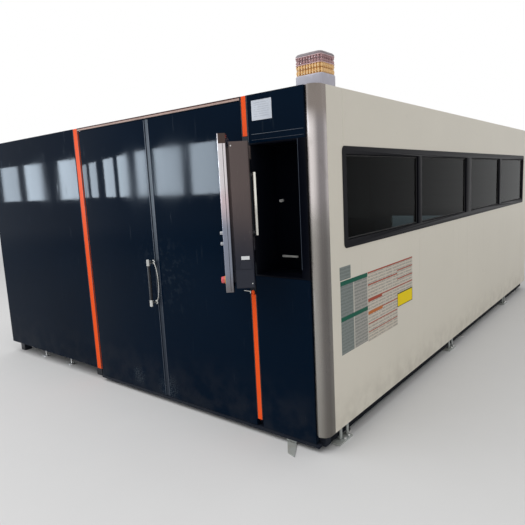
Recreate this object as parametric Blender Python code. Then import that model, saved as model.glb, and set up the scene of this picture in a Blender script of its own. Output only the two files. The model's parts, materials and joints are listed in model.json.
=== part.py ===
"""A fiber laser cutting machine: a glazed cabin with a slatted pallet and a laser head inside.

Positions are given from the cabin's front right corner at floor level: X runs to the right,
Y to the back, Z up, all in metres. The front lies on Y = 0 and the white side on X = 0.
place_on_footprint() then moves the whole machine so that the origin is under its middle.
"""
import math

import bmesh
import bpy
from mathutils import Matrix, Vector

# Cabin and its covers
CABIN_WIDTH = 2.40
CABIN_LENGTH = 5.45
CABIN_HEIGHT = 2.20
COVER_DEPTH = 0.04
COVER_SHEET = 0.004
SIDE_CLEARANCE = 0.11
FRONT_CLEARANCE = 0.03
STRIPE_SETBACK = 0.003
SILL_SETBACK = 0.002
FIT = 0.0003

# Cabin side: seams of the lower covers and the window band
SIDE_SEAM_FRONT = 1.486
SIDE_SEAM_MIDDLE = 2.751
SIDE_SEAM_REAR = CABIN_LENGTH - 0.310
SEAM_GAP = 0.0006
WINDOW_START = 0.264
WINDOW_END = CABIN_LENGTH - 0.260
WINDOW_HEIGHT = 0.619
WINDOW_TOP = CABIN_HEIGHT - 0.333
WINDOW_BOTTOM = WINDOW_TOP - WINDOW_HEIGHT
WINDOW_BORDER = 0.049
WINDOW_LIP = 0.020
WINDOW_LIP_DEPTH = 0.004
WINDOW_CORNER_RADIUS = 0.030
MULLION_FRONT = 1.490
MULLION_FRONT_WIDTH = 0.077
MULLION_MIDDLE = 2.760
MULLION_MIDDLE_WIDTH = 0.160
MULLION_REAR = 3.967
MULLION_REAR_WIDTH = 0.073
PANE_THICKNESS = 0.006
PANE_SETBACK = 0.012

# Corner pillar
PILLAR_FRONT = 0.064
PILLAR_SIDE = 0.100
PILLAR_RADIUS = 0.060
PILLAR_RECESS_WIDTH = 0.020
PILLAR_RECESS_DEPTH = 0.015

# Portal frame behind the front
FRAME_FRONT = 0.045
FRAME_DEPTH = 0.060
FRAME_POST = 0.070
FRAME_TOP_RAIL = 0.100
FRAME_SILL = 0.070
LEDGE_HEIGHT = 0.025

# Trim strips
STRIPE_LEFT_WIDTH = 0.070
STRIPE_LEFT_END = -CABIN_WIDTH + 0.060
STRIPE_RIGHT_START = -0.550
STRIPE_RIGHT_WIDTH = 0.050
STRIPE_BOTTOM = 0.105
STRIPE_LOWER_DROP = 0.125
STRIPE_UPPER_RISE = 0.046

# Front leaves
LEAF_WIDTH = 0.866
LEAF_EDGE = STRIPE_LEFT_END + LEAF_WIDTH
LEAF_MEETING_GAP = 0.038
LEAF_GAP = 0.003
LEAF_NOSE = 0.020
PIVOT_PIN_RADIUS = 0.008
PIVOT_PIN_LENGTH = 0.030
PIVOT_FLANGE_RADIUS = 0.014
PIVOT_FLANGE = 0.002

# Door handle
HANDLE_INSET = 0.021
HANDLE_BOTTOM = 0.787
HANDLE_LENGTH = 0.362
HANDLE_STAND_OFF = 0.050
HANDLE_RADIUS = 0.012
HANDLE_CAP_RADIUS = 0.015
HANDLE_CAP_LENGTH = 0.050
HANDLE_FOOT_INSET = 0.008

# Corner bay between the right strip and the pillar
BAY_GAP = 0.003
NICHE_HEIGHT = 0.824
NICHE_TOP = CABIN_HEIGHT - 0.286
NICHE_BOTTOM = NICHE_TOP - NICHE_HEIGHT
STRIPE_LOWER_TOP = NICHE_BOTTOM - STRIPE_LOWER_DROP
STRIPE_UPPER_BOTTOM = NICHE_TOP + STRIPE_UPPER_RISE
NICHE_LEFT_EDGE = 0.013
NICHE_RIGHT = -0.138
NICHE_DEPTH = 0.250
NICHE_SHEET = 0.010
NICHE_BOX_SETBACK = 0.010

# Console: swings on the left edge of the recess
CONSOLE_PIVOT_X = -0.484
CONSOLE_PIVOT_Y = -0.017
CONSOLE_REST_ANGLE = 51.0
CONSOLE_WIDTH = 0.360
CONSOLE_BOTTOM = NICHE_BOTTOM
CONSOLE_TOP = NICHE_TOP - 0.014
CONSOLE_DEPTH = 0.107
CONSOLE_HINGE_GAP = 0.022
CONSOLE_CORNER_RADIUS = 0.012
BEZEL_BOTTOM = CONSOLE_BOTTOM - 0.020
BEZEL_TOP = CONSOLE_TOP + 0.045
BEZEL_CORNER_RADIUS = 0.006
BEZEL_DEPTH = 0.045
BEZEL_NECK = 0.014
BEZEL_NECK_INSET = 0.030
BEZEL_RIM = 0.018
SCREEN_BOTTOM = CONSOLE_BOTTOM + 0.430
SCREEN_POCKET = 0.010
INLAY_SETBACK = 0.002
KEYPAD_TOP = SCREEN_BOTTOM - 0.020
KEYPAD_BOTTOM = CONSOLE_BOTTOM + 0.090
KNUCKLE_RADIUS = 0.011
KNUCKLE_HEIGHT = 0.080
KNUCKLE_LOWER = CONSOLE_BOTTOM + 0.090
KNUCKLE_UPPER = CONSOLE_TOP - 0.160
KNUCKLE_TAB_LENGTH = 0.020
KNUCKLE_TAB_THICKNESS = 0.008
KNUCKLE_TAB_SETBACK = 0.001
KNUCKLE_ARM = 0.009
KNUCKLE_ARM_ROOT = 0.010
HINGE_POST_SETBACK = 0.002
GRIP_RADIUS = 0.008
GRIP_BOTTOM = CONSOLE_BOTTOM + 0.290
GRIP_LENGTH = 0.360
GRIP_STAND_OFF = 0.034
GRIP_INSET = 0.055
GRIP_BEND_STEPS = 5
STOP_LEVEL = CONSOLE_BOTTOM + 0.040
STOP_INSET = 0.280
STOP_RADIUS = 0.020
STOP_HEIGHT = 0.030
STOP_TRAVEL = 0.005
START_INSET = 0.080
START_RADIUS = 0.011
START_HEIGHT = 0.010
START_TRAVEL = 0.003

# Signal lamp on the front right corner of the roof
LAMP_RIGHT = -0.022
LAMP_FRONT = 0.100
LAMP_WIDTH = 0.186
LAMP_DEPTH = 0.165
LAMP_BASE_HEIGHT = 0.070
LAMP_AMBER_HEIGHT = 0.060
LAMP_RED_HEIGHT = 0.042
LAMP_CAP_HEIGHT = 0.020
LAMP_CORNER_RADIUS = 0.022
LAMP_RIB_DEPTH = 0.004
LAMP_RIB_INSET = 0.001
LAMP_BASE_BEVEL = 0.006
LAMP_BASE_TAPER = 0.004
LAMP_BASE_LIP = 0.003
LAMP_STEM_INSET = 0.030
LAMP_STEM_OVERLAP = 0.020
LAMP_CAP_INSET = 0.002
LAMP_CAP_SHOULDER = 0.008
LAMP_CAP_CROWN = 0.018
LAMP_RIBS = 3

# Left block
BLOCK_WIDTH = 1.580
BLOCK_LEFT = STRIPE_LEFT_END - STRIPE_LEFT_WIDTH - BLOCK_WIDTH
BLOCK_DEPTH = 1.200
BLOCK_WALL = 0.030
BLOCK_LEG = 0.080
BLOCK_COVER_DEPTH = 0.035
SERVICE_DOOR_START = 0.250
SERVICE_DOOR_WIDTH = BLOCK_DEPTH - 2 * SERVICE_DOOR_START
SERVICE_DOOR_BOTTOM = 0.250
SERVICE_DOOR_TOP = CABIN_HEIGHT - 0.150
SERVICE_DOOR_GAP = 0.0009
LATCH_LEVEL = 1.100
LATCH_INSET = 0.060
LATCH_BOSS_RADIUS = 0.020
LATCH_BOSS_LENGTH = 0.012
LATCH_LEVER_LENGTH = 0.120
LATCH_LEVER_WIDTH = 0.022
LATCH_LEVER_DEPTH = 0.010
LATCH_LEVER_SINK = 0.002
SOURCE_WIDTH = 0.700
SOURCE_FRONT = 0.200
SOURCE_REAR_GAP = 0.200
SOURCE_DEPTH = BLOCK_DEPTH - SOURCE_FRONT - SOURCE_REAR_GAP
SOURCE_HEIGHT = 1.050
SOURCE_RIGHT_GAP = 0.150
SOURCE_VENTS = 6
SOURCE_VENT_PITCH = 0.050
SOURCE_VENT_HEIGHT = 0.020
SOURCE_VENT_DEPTH = 0.020
SOURCE_VENT_MARGIN = 0.080

# Base frame and feet
BEAM_WIDTH = 0.100
BEAM_BOTTOM = 0.035
BEAM_HEIGHT = 0.120
CROSS_WIDTH = 0.120
CROSS_COUNT = 4
FOOT_RADIUS = 0.050
FOOT_PAD = 0.015
FOOT_STUD_RADIUS = 0.012
FOOT_FRONT = 0.350
FOOT_MIDDLE = 2.780
FOOT_REAR = CABIN_LENGTH - 0.350

# Machine bed and its rails
BED_SIDE_GAP = 0.200
BED_RIGHT = -BED_SIDE_GAP
BED_WIDTH = CABIN_WIDTH - 2 * BED_SIDE_GAP
BED_START = 0.550
BED_END = CABIN_LENGTH - 0.400
BED_TOP = 0.950
BED_WALL_TOP = 0.220
BED_FLOOR = 0.020
PALLET_LEDGE_LEVEL = BED_TOP - 0.290
PALLET_LEDGE_WIDTH = 0.050
PALLET_LEDGE_THICKNESS = 0.040
BED_THROAT_DROP = 0.120
BED_TRAY_CLEARANCE = 0.020
RAIL_WIDTH = 0.045
RAIL_WAIST = 0.028
RAIL_HEIGHT = 0.050
CHAIN_SHELF_LEVEL = BED_TOP - 0.150
CHAIN_SHELF_WIDTH = 0.100
CHAIN_SHELF_THICKNESS = 0.010

# Bridge, carriage and head
BRIDGE_Y = 1.150
BRIDGE_DEPTH = 0.280
BRIDGE_BOTTOM = BED_TOP + 0.110
BRIDGE_HEIGHT = 0.300
BRIDGE_OVERHANG = 0.040
BRIDGE_FRONT_CHAMFER = 0.050
BRIDGE_FRONT_RISE = 0.120
BRIDGE_TOP_CHAMFER = 0.030
BRIDGE_BACK_CHAMFER = 0.080
BRIDGE_BACK_DROP = 0.040
TRUCK_WIDTH = 0.160
TRUCK_LENGTH = 0.360
TRUCK_BOTTOM = BED_TOP + 0.005
TRUCK_OVERLAP = 0.005
TRUCK_SIDE_PLAY = 0.001
BRIDGE_RAIL_WIDTH = 0.030
BRIDGE_RAIL_DEPTH = 0.020
BRIDGE_RAIL_LOWER = BRIDGE_BOTTOM + 0.030
BRIDGE_RAIL_UPPER = BRIDGE_BOTTOM + 0.170
CARRIAGE_X = BED_RIGHT - BED_WIDTH / 2
CARRIAGE_WIDTH = 0.300
CARRIAGE_DEPTH = 0.060
CARRIAGE_BOTTOM = BRIDGE_BOTTOM + 0.010
CARRIAGE_HEIGHT = 0.650
CARRIAGE_GROOVE = 0.020
CARRIAGE_EDGE = 0.004
SLIDE_WIDTH = 0.160
SLIDE_DEPTH = 0.080
SLIDE_BOTTOM = CARRIAGE_BOTTOM + 0.130
SLIDE_HEIGHT = 0.460
SLIDE_FINS = 5
SLIDE_FIN_START = 0.080
SLIDE_FIN_PITCH = 0.060
SLIDE_FIN_HEIGHT = 0.030
SLIDE_FIN_DEPTH = 0.012
SLIDE_FIN_MARGIN = 0.010
HEAD_TOP_RADIUS = 0.036
HEAD_LENGTH = 0.190
HEAD_TIP_BEVEL = 0.012
HEAD_CONE_HEIGHT = 0.050
HEAD_WAIST_TOP = 0.090
HEAD_COLLAR_BOTTOM = 0.100
HEAD_COLLAR_TOP = 0.140
HEAD_COLLAR_BEVEL = 0.005
HEAD_FLANGE = 0.010
NOZZLE_LENGTH = 0.045
NOZZLE_BORE = 0.0015
NOZZLE_TIP_RADIUS = 0.004
NOZZLE_SKIRT_RADIUS = 0.012
NOZZLE_RADIUS = 0.014
NOZZLE_THROAT_RADIUS = 0.006
NOZZLE_CONE_HEIGHT = 0.022
NOZZLE_SKIRT_BEVEL = 0.002
NOZZLE_THROAT_BOTTOM = 0.020

# Energy chain beside the bed
CHAIN_START = 0.950
CHAIN_BEND_Y = 2.700
CHAIN_BEND_RADIUS = 0.100
CHAIN_HEIGHT = 0.040
CHAIN_WIDTH = 0.070
CHAIN_PITCH = 0.080
CHAIN_NOTCH = 0.006
CHAIN_ARM = 0.020
CHAIN_ARM_LENGTH = 0.100
CHAIN_ARM_ROOT = 0.050
CHAIN_ARM_OVERLAP = 0.020

# Slatted pallet
PALLET_START = 1.350
PALLET_END_GAP = 0.900
PALLET_LENGTH = CABIN_LENGTH - PALLET_START - PALLET_END_GAP
PALLET_SIDE_PLAY = 0.030
PALLET_RAIL_WIDTH = 0.060
PALLET_RAIL_HEIGHT = 0.130
SLAT_COUNT = 26
SLAT_THICKNESS = 0.004
SLAT_BOTTOM = PALLET_LEDGE_LEVEL + 0.040
SLAT_HEIGHT = 0.145
SLAT_TEETH = 20
SLAT_TOOTH_DEPTH = 0.030

# Scrap tray under the pallet
TRAY_START = 1.350
TRAY_END = CABIN_LENGTH - 0.110
TRAY_SIDE_GAP = 0.400
TRAY_WIDTH = BED_WIDTH - 2 * TRAY_SIDE_GAP
TRAY_HEIGHT = 0.320
TRAY_WALL = 0.008
TRAY_TAPER = 0.090
TRAY_PULL_WIDTH = 0.300
TRAY_PULL_HEIGHT = 0.040

# Rear wall with its shutter
REAR_OPENING_SIDE = 0.200
REAR_OPENING_WIDTH = BED_WIDTH - 2 * REAR_OPENING_SIDE
REAR_OPENING_BOTTOM = BEAM_BOTTOM + BEAM_HEIGHT + 0.010
REAR_OPENING_TOP = BED_TOP + 0.100
SHUTTER_OVERLAP = 0.050
SHUTTER_HEIGHT = 0.560
SHUTTER_THICKNESS = 0.024
SHUTTER_RIBS = 5
SHUTTER_RIB_DEPTH = 0.006
GUIDE_WIDTH = 0.050
GUIDE_LIP = 0.015
GUIDE_LIP_THICKNESS = 0.010
GUIDE_TOP = CABIN_HEIGHT - 0.100

# Roof
ROOF_SINK = 0.005
ROOF_DEPTH = 0.040
ROOF_RIBS = 4
ROOF_RIB_WIDTH = 0.040

ROUND_SEGMENTS = 24
PIN_SEGMENTS = 16
BUTTON_SEGMENTS = 20
PAST = 0.010
SMOOTH_ANGLE = math.radians(35)

scene = bpy.context.scene


def clear_scene():
    for thing in list(bpy.data.objects):
        bpy.data.objects.remove(thing, do_unlink=True)


def material(name, color, roughness, metallic=0.0):
    """A Principled material in the piece's own colour."""
    made = bpy.data.materials.new(name)
    made.use_nodes = True
    shader = made.node_tree.nodes["Principled BSDF"]
    shader.inputs["Base Color"].default_value = (*color, 1.0)
    shader.inputs["Roughness"].default_value = roughness
    shader.inputs["Metallic"].default_value = metallic
    return made


# Solids

def add_object(name, mesh, look, origin=(0, 0, 0), smooth=False, parent=None):
    """Put a mesh into the scene, with the object's origin at the given point."""
    mesh.transform(Matrix.Translation(-Vector(origin)))
    made = bpy.data.objects.new(name, mesh)
    scene.collection.objects.link(made)
    made.location = origin
    made.parent = parent or machine
    if look is not None:
        mesh.materials.append(look)
    if smooth:
        mesh.shade_smooth()
        mesh.set_sharp_from_angle(angle=SMOOTH_ANGLE)
    return made


def mesh_from(build, name):
    """Run a bmesh builder and return its mesh with all faces outward."""
    shape = bmesh.new()
    build(shape)
    bmesh.ops.recalc_face_normals(shape, faces=shape.faces)
    mesh = bpy.data.meshes.new(name)
    shape.to_mesh(mesh)
    shape.free()
    return mesh


def add_block(shape, low, high):
    """Add a closed box between two corners to a bmesh."""
    low, high = Vector(low), Vector(high)
    place = Matrix.Translation((low + high) / 2) @ Matrix.Diagonal((*(high - low), 1))
    bmesh.ops.create_cube(shape, size=1, matrix=place)


def boxes_mesh(name, boxes):
    """A mesh that holds one closed box for each pair of corners."""
    def build(shape):
        for low, high in boxes:
            add_block(shape, low, high)
    return mesh_from(build, name)


def prism_mesh(name, outline, start, end, place):
    """Extrude a closed outline; place(u, v, w) gives the point at depth w."""
    def build(shape):
        near = [shape.verts.new(place(u, v, start)) for u, v in outline]
        far = [shape.verts.new(place(u, v, end)) for u, v in outline]
        shape.faces.new(near)
        shape.faces.new(list(reversed(far)))
        for index in range(len(outline)):
            after = (index + 1) % len(outline)
            shape.faces.new((near[index], far[index], far[after], near[after]))
    return mesh_from(build, name)


def along_y(u, v, w):
    """Place an outline drawn in X and Z at the depth Y."""
    return (u, w, v)


def along_x(u, v, w):
    """Place an outline drawn in Y and Z at the width X."""
    return (w, u, v)


def along_z(u, v, w):
    """Place an outline drawn in X and Y at the height Z."""
    return (u, v, w)


def arc(center, radius, start_degrees, end_degrees, steps):
    """Points on an arc, both ends included."""
    points = []
    for step in range(steps + 1):
        angle = math.radians(start_degrees + (end_degrees - start_degrees) * step / steps)
        points.append((center[0] + radius * math.cos(angle), center[1] + radius * math.sin(angle)))
    return points


def rounded_rectangle(low, high, radius, steps=4):
    """Outline of a rectangle with rounded corners, counter-clockwise."""
    (left, bottom), (right, top) = low, high
    return (arc((right - radius, bottom + radius), radius, -90, 0, steps)
            + arc((right - radius, top - radius), radius, 0, 90, steps)
            + arc((left + radius, top - radius), radius, 90, 180, steps)
            + arc((left + radius, bottom + radius), radius, 180, 270, steps))


def turned_mesh(name, profile, center, axis="Z", segments=ROUND_SEGMENTS):
    """Revolve a profile of (radius, height) points round an axis through center.

    A profile that ends where it began has a bore right through.
    """
    turn = {"Z": Matrix.Identity(4),
            "-Y": Matrix.Rotation(math.radians(90), 4, "X"),
            "-X": Matrix.Rotation(math.radians(-90), 4, "Y")}[axis]

    def build(shape):
        rings = []
        for radius, height in profile:
            if radius == 0:
                rings.append([shape.verts.new((0, 0, height))])
                continue
            ring = []
            for step in range(segments):
                angle = 2 * math.pi * step / segments
                point = (radius * math.cos(angle), radius * math.sin(angle), height)
                ring.append(shape.verts.new(point))
            rings.append(ring)
        closed = profile[0] == profile[-1]
        if closed:
            bmesh.ops.delete(shape, geom=rings.pop(), context="VERTS")
        following = rings[1:] + rings[:1] if closed else rings[1:]
        for lower, upper in zip(rings, following):
            for step in range(segments):
                after = (step + 1) % segments
                if len(lower) == 1:
                    shape.faces.new((lower[0], upper[after], upper[step]))
                elif len(upper) == 1:
                    shape.faces.new((lower[step], lower[after], upper[0]))
                else:
                    shape.faces.new((lower[step], lower[after], upper[after], upper[step]))
        bmesh.ops.transform(shape, matrix=Matrix.Translation(center) @ turn, verts=shape.verts)
    return mesh_from(build, name)


def lofted_mesh(name, sections):
    """Skin a stack of (outline, height) sections, capped at both ends."""
    def build(shape):
        rings = [[shape.verts.new((x, y, z)) for x, y in outline] for outline, z in sections]
        shape.faces.new(list(reversed(rings[0])))
        shape.faces.new(rings[-1])
        for lower, upper in zip(rings, rings[1:]):
            for index in range(len(lower)):
                after = (index + 1) % len(lower)
                shape.faces.new((lower[index], lower[after], upper[after], upper[index]))
    return mesh_from(build, name)


def combine(target, mesh, operation, self_touching=False):
    """Join a mesh to an object, or cut it away, with a Boolean modifier."""
    guide = add_object(target.name + "." + operation.lower(), mesh, None, parent=target.parent)
    guide.hide_render = True
    guide.display_type = "WIRE"
    step = target.modifiers.new(operation.lower(), "BOOLEAN")
    step.operation = operation
    step.solver = "EXACT"
    step.use_self = self_touching
    step.object = guide
    return target


def cut(target, boxes):
    return combine(target, boxes_mesh(target.name + "_cut", boxes), "DIFFERENCE")


def weld(target, boxes):
    return combine(target, boxes_mesh(target.name + "_weld", boxes), "UNION", True)


def soften(target, width, segments=2):
    """Round the sharp edges of a piece."""
    bevel = target.modifiers.new("edges", "BEVEL")
    bevel.width = width
    bevel.segments = segments
    bevel.limit_method = "ANGLE"
    bevel.angle_limit = math.radians(40)
    return target


def block(name, low, high, look):
    return add_object(name, boxes_mesh(name, [(low, high)]), look)


def cover(name, low, high, look, open_side, ribs=()):
    """A folded sheet cover: a tray whose open side is one of +X, -X, +Y or -Z.

    Each rib is a solid stretch between two positions along Y.
    """
    made = block(name, low, high, look)
    inner_low = [value + COVER_SHEET for value in low]
    inner_high = [value - COVER_SHEET for value in high]
    past = COVER_DEPTH
    axis = "XYZ".index(open_side[1])
    if open_side[0] == "+":
        inner_high[axis] = high[axis] + past
    else:
        inner_low[axis] = low[axis] - past
    edges = [inner_low[1], *[edge for rib in ribs for edge in rib], inner_high[1]]
    return cut(made, [((inner_low[0], start, inner_low[2]), (inner_high[0], end, inner_high[2]))
                      for start, end in zip(edges[::2], edges[1::2])])


# Base and bed

def add_base_frame():
    right = -COVER_DEPTH - FIT
    left = -CABIN_WIDTH + COVER_DEPTH + FIT
    start = FRAME_FRONT + FRAME_DEPTH + FIT
    end = CABIN_LENGTH - COVER_DEPTH - FIT
    top = BEAM_BOTTOM + BEAM_HEIGHT
    frame = block("base_frame", (right - BEAM_WIDTH, start, BEAM_BOTTOM), (right, end, top), BLACK)
    members = [((left, start, BEAM_BOTTOM), (left + BEAM_WIDTH, end, top))]
    for index in range(CROSS_COUNT):
        near = start + (end - start - CROSS_WIDTH) * index / (CROSS_COUNT - 1)
        members.append(((left + BEAM_WIDTH / 2, near, BEAM_BOTTOM),
                        (right - BEAM_WIDTH / 2, near + CROSS_WIDTH, top)))
    weld(frame, members)


def add_feet():
    edge = COVER_DEPTH + FIT + BEAM_WIDTH / 2
    centers = (-edge, -CABIN_WIDTH + edge)
    profile = [(0, 0), (FOOT_RADIUS, 0), (FOOT_RADIUS, FOOT_PAD * 0.5),
               (FOOT_RADIUS * 0.5, FOOT_PAD), (FOOT_STUD_RADIUS, FOOT_PAD),
               (FOOT_STUD_RADIUS, BEAM_BOTTOM - FIT), (0, BEAM_BOTTOM - FIT)]
    number = 0
    for row in (FOOT_FRONT, FOOT_MIDDLE, FOOT_REAR):
        for x in centers:
            number += 1
            name = f"levelling_foot_{number}"
            mesh = turned_mesh(name, profile, (x, row, 0), segments=PIN_SEGMENTS)
            add_object(name, mesh, ZINC, smooth=True)


def rail_outline(center, level):
    """Section of a guide rail with a waist, from its left foot to its right foot."""
    half, waist = RAIL_WIDTH / 2, RAIL_WAIST / 2
    shoulder = level + RAIL_HEIGHT * 0.3
    head = level + RAIL_HEIGHT * 0.6
    top = level + RAIL_HEIGHT
    return [(center - half, level), (center - half, shoulder), (center - waist, head),
            (center - half, head + RAIL_HEIGHT * 0.15), (center - half, top), (center + half, top),
            (center + half, head + RAIL_HEIGHT * 0.15), (center + waist, head),
            (center + half, shoulder), (center + half, level)]


def rail_centers():
    return (BED_RIGHT - BED_WALL_TOP / 2, BED_RIGHT - BED_WIDTH + BED_WALL_TOP / 2)


def add_machine_bed():
    left, right = BED_RIGHT - BED_WIDTH, BED_RIGHT
    bottom = BEAM_BOTTOM + BEAM_HEIGHT + FIT
    inner_right, inner_left = right - BED_WALL_TOP, left + BED_WALL_TOP
    hollow_half = TRAY_WIDTH / 2 + BED_TRAY_CLEARANCE
    middle = (left + right) / 2
    ledge = PALLET_LEDGE_LEVEL
    shelf = CHAIN_SHELF_LEVEL
    outline = [(left, bottom), (right, bottom), (right, shelf - CHAIN_SHELF_THICKNESS),
               (right + CHAIN_SHELF_WIDTH, shelf - CHAIN_SHELF_THICKNESS),
               (right + CHAIN_SHELF_WIDTH, shelf), (right, shelf), (right, BED_TOP)]
    outline += list(reversed(rail_outline(rail_centers()[0], BED_TOP)))
    under = ledge - PALLET_LEDGE_THICKNESS
    throat = ledge - BED_THROAT_DROP
    floor = bottom + BED_FLOOR
    ledge_right = inner_right - PALLET_LEDGE_WIDTH
    ledge_left = inner_left + PALLET_LEDGE_WIDTH
    outline += [(inner_right, BED_TOP), (inner_right, ledge), (ledge_right, ledge), (ledge_right, under),
                (middle + hollow_half, throat), (middle + hollow_half, floor),
                (middle - hollow_half, floor), (middle - hollow_half, throat),
                (ledge_left, under), (ledge_left, ledge), (inner_left, ledge), (inner_left, BED_TOP)]
    outline += list(reversed(rail_outline(rail_centers()[1], BED_TOP)))
    outline += [(left, BED_TOP)]
    mesh = prism_mesh("machine_bed", outline, BED_START, BED_END, along_y)
    add_object("machine_bed", mesh, BED_PAINT)


# Bridge and head

def add_bridge():
    centers = rail_centers()
    right = BED_RIGHT + BRIDGE_OVERHANG
    left = BED_RIGHT - BED_WIDTH - BRIDGE_OVERHANG
    near, far = BRIDGE_Y - BRIDGE_DEPTH / 2, BRIDGE_Y + BRIDGE_DEPTH / 2
    bottom, top = BRIDGE_BOTTOM, BRIDGE_BOTTOM + BRIDGE_HEIGHT
    outline = [(near + BRIDGE_FRONT_CHAMFER, bottom), (far, bottom)]
    rail = far + BRIDGE_RAIL_DEPTH
    for level in (BRIDGE_RAIL_LOWER, BRIDGE_RAIL_UPPER):
        over = level + BRIDGE_RAIL_WIDTH
        outline += [(far, level), (rail, level), (rail, over), (far, over)]
    outline += [(far, top - BRIDGE_BACK_DROP), (far - BRIDGE_BACK_CHAMFER, top),
                (near + BRIDGE_TOP_CHAMFER, top), (near, top - BRIDGE_TOP_CHAMFER),
                (near, bottom + BRIDGE_FRONT_RISE)]
    mesh = prism_mesh("bridge_beam", outline, left, right, along_x)
    bridge = add_object("bridge_beam", mesh, BRIDGE_PAINT)
    trucks, slots = [], []
    slot_half = RAIL_WIDTH / 2 + TRUCK_SIDE_PLAY
    for center in centers:
        trucks.append(((center - TRUCK_WIDTH / 2, BRIDGE_Y - TRUCK_LENGTH / 2, TRUCK_BOTTOM),
                       (center + TRUCK_WIDTH / 2, BRIDGE_Y + TRUCK_LENGTH / 2, bottom + TRUCK_OVERLAP)))
        slots.append(((center - slot_half, BRIDGE_Y - TRUCK_LENGTH, TRUCK_BOTTOM - RAIL_HEIGHT),
                      (center + slot_half, BRIDGE_Y + TRUCK_LENGTH, BED_TOP + RAIL_HEIGHT + FIT)))
    arm_level = CHAIN_SHELF_LEVEL + FIT + 2 * CHAIN_BEND_RADIUS + CHAIN_HEIGHT + FIT
    chain_middle = BED_RIGHT + CHAIN_SHELF_WIDTH / 2
    root = right - CHAIN_ARM_ROOT
    arm_near, arm_far = BRIDGE_Y - CHAIN_ARM_LENGTH / 2, BRIDGE_Y + CHAIN_ARM_LENGTH / 2
    arm = ((root, arm_near, arm_level), (chain_middle + CHAIN_WIDTH / 2, arm_far, arm_level + CHAIN_ARM))
    riser = ((root, arm_near, arm_level), (right, arm_far, bottom + CHAIN_ARM_OVERLAP))
    weld(bridge, trucks + [arm, riser])
    cut(bridge, slots)


def add_head_carriage():
    back = BRIDGE_Y + BRIDGE_DEPTH / 2 + BRIDGE_RAIL_DEPTH + FIT
    half = CARRIAGE_WIDTH / 2
    low = (CARRIAGE_X - half, back, CARRIAGE_BOTTOM)
    top = CARRIAGE_BOTTOM + CARRIAGE_HEIGHT
    face = back + CARRIAGE_DEPTH
    high = (CARRIAGE_X + half, face, top)
    carriage = block("head_carriage", low, high, BRIDGE_PAINT)
    soften(carriage, CARRIAGE_EDGE, 1)
    groove_half = SLIDE_WIDTH / 2 + FIT
    cut(carriage, [((CARRIAGE_X - groove_half, face - CARRIAGE_GROOVE, CARRIAGE_BOTTOM - PAST),
                    (CARRIAGE_X + groove_half, face + PAST, top + PAST))])


def slide_front():
    carriage_face = BRIDGE_Y + BRIDGE_DEPTH / 2 + BRIDGE_RAIL_DEPTH + CARRIAGE_DEPTH + FIT
    return carriage_face - CARRIAGE_GROOVE + FIT


def add_height_slide():
    half = SLIDE_WIDTH / 2
    back = slide_front()
    slide = block("height_slide", (CARRIAGE_X - half, back, SLIDE_BOTTOM),
                  (CARRIAGE_X + half, back + SLIDE_DEPTH, SLIDE_BOTTOM + SLIDE_HEIGHT), DARK_GREY)
    grooves = []
    reach = half - SLIDE_FIN_MARGIN
    face = back + SLIDE_DEPTH
    for index in range(SLIDE_FINS):
        level = SLIDE_BOTTOM + SLIDE_FIN_START + SLIDE_FIN_PITCH * index
        grooves.append(((CARRIAGE_X - reach, face - SLIDE_FIN_DEPTH, level),
                        (CARRIAGE_X + reach, face + PAST, level + SLIDE_FIN_HEIGHT)))
    cut(slide, grooves)


def add_cutting_head():
    center = (CARRIAGE_X, slide_front() + SLIDE_DEPTH / 2, 0)
    top = SLIDE_BOTTOM - FIT
    radius = HEAD_TOP_RADIUS
    low = top - HEAD_LENGTH
    neck, waist = radius * 0.9, radius * 0.8
    profile = [(0, low), (radius * 0.45, low), (radius * 0.55, low + HEAD_TIP_BEVEL),
               (waist, low + HEAD_CONE_HEIGHT), (waist, low + HEAD_WAIST_TOP),
               (radius, low + HEAD_COLLAR_BOTTOM), (radius, low + HEAD_COLLAR_TOP),
               (neck, low + HEAD_COLLAR_TOP + HEAD_COLLAR_BEVEL), (neck, top - HEAD_FLANGE),
               (radius * 1.05, top - HEAD_FLANGE), (radius * 1.05, top), (0, top)]
    add_object("cutting_head", turned_mesh("cutting_head", profile, center), ALUMINIUM, smooth=True)
    nozzle_top = low - FIT
    tip = nozzle_top - NOZZLE_LENGTH
    skirt = tip + NOZZLE_CONE_HEIGHT
    nozzle = [(NOZZLE_BORE, tip), (NOZZLE_TIP_RADIUS, tip), (NOZZLE_SKIRT_RADIUS, skirt),
              (NOZZLE_RADIUS, skirt + NOZZLE_SKIRT_BEVEL), (NOZZLE_RADIUS, nozzle_top),
              (NOZZLE_THROAT_RADIUS, nozzle_top), (NOZZLE_THROAT_RADIUS, tip + NOZZLE_THROAT_BOTTOM),
              (NOZZLE_BORE, tip)]
    mesh = turned_mesh("cutting_nozzle", nozzle, center)
    add_object("cutting_nozzle", mesh, BRASS, smooth=True)


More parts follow.
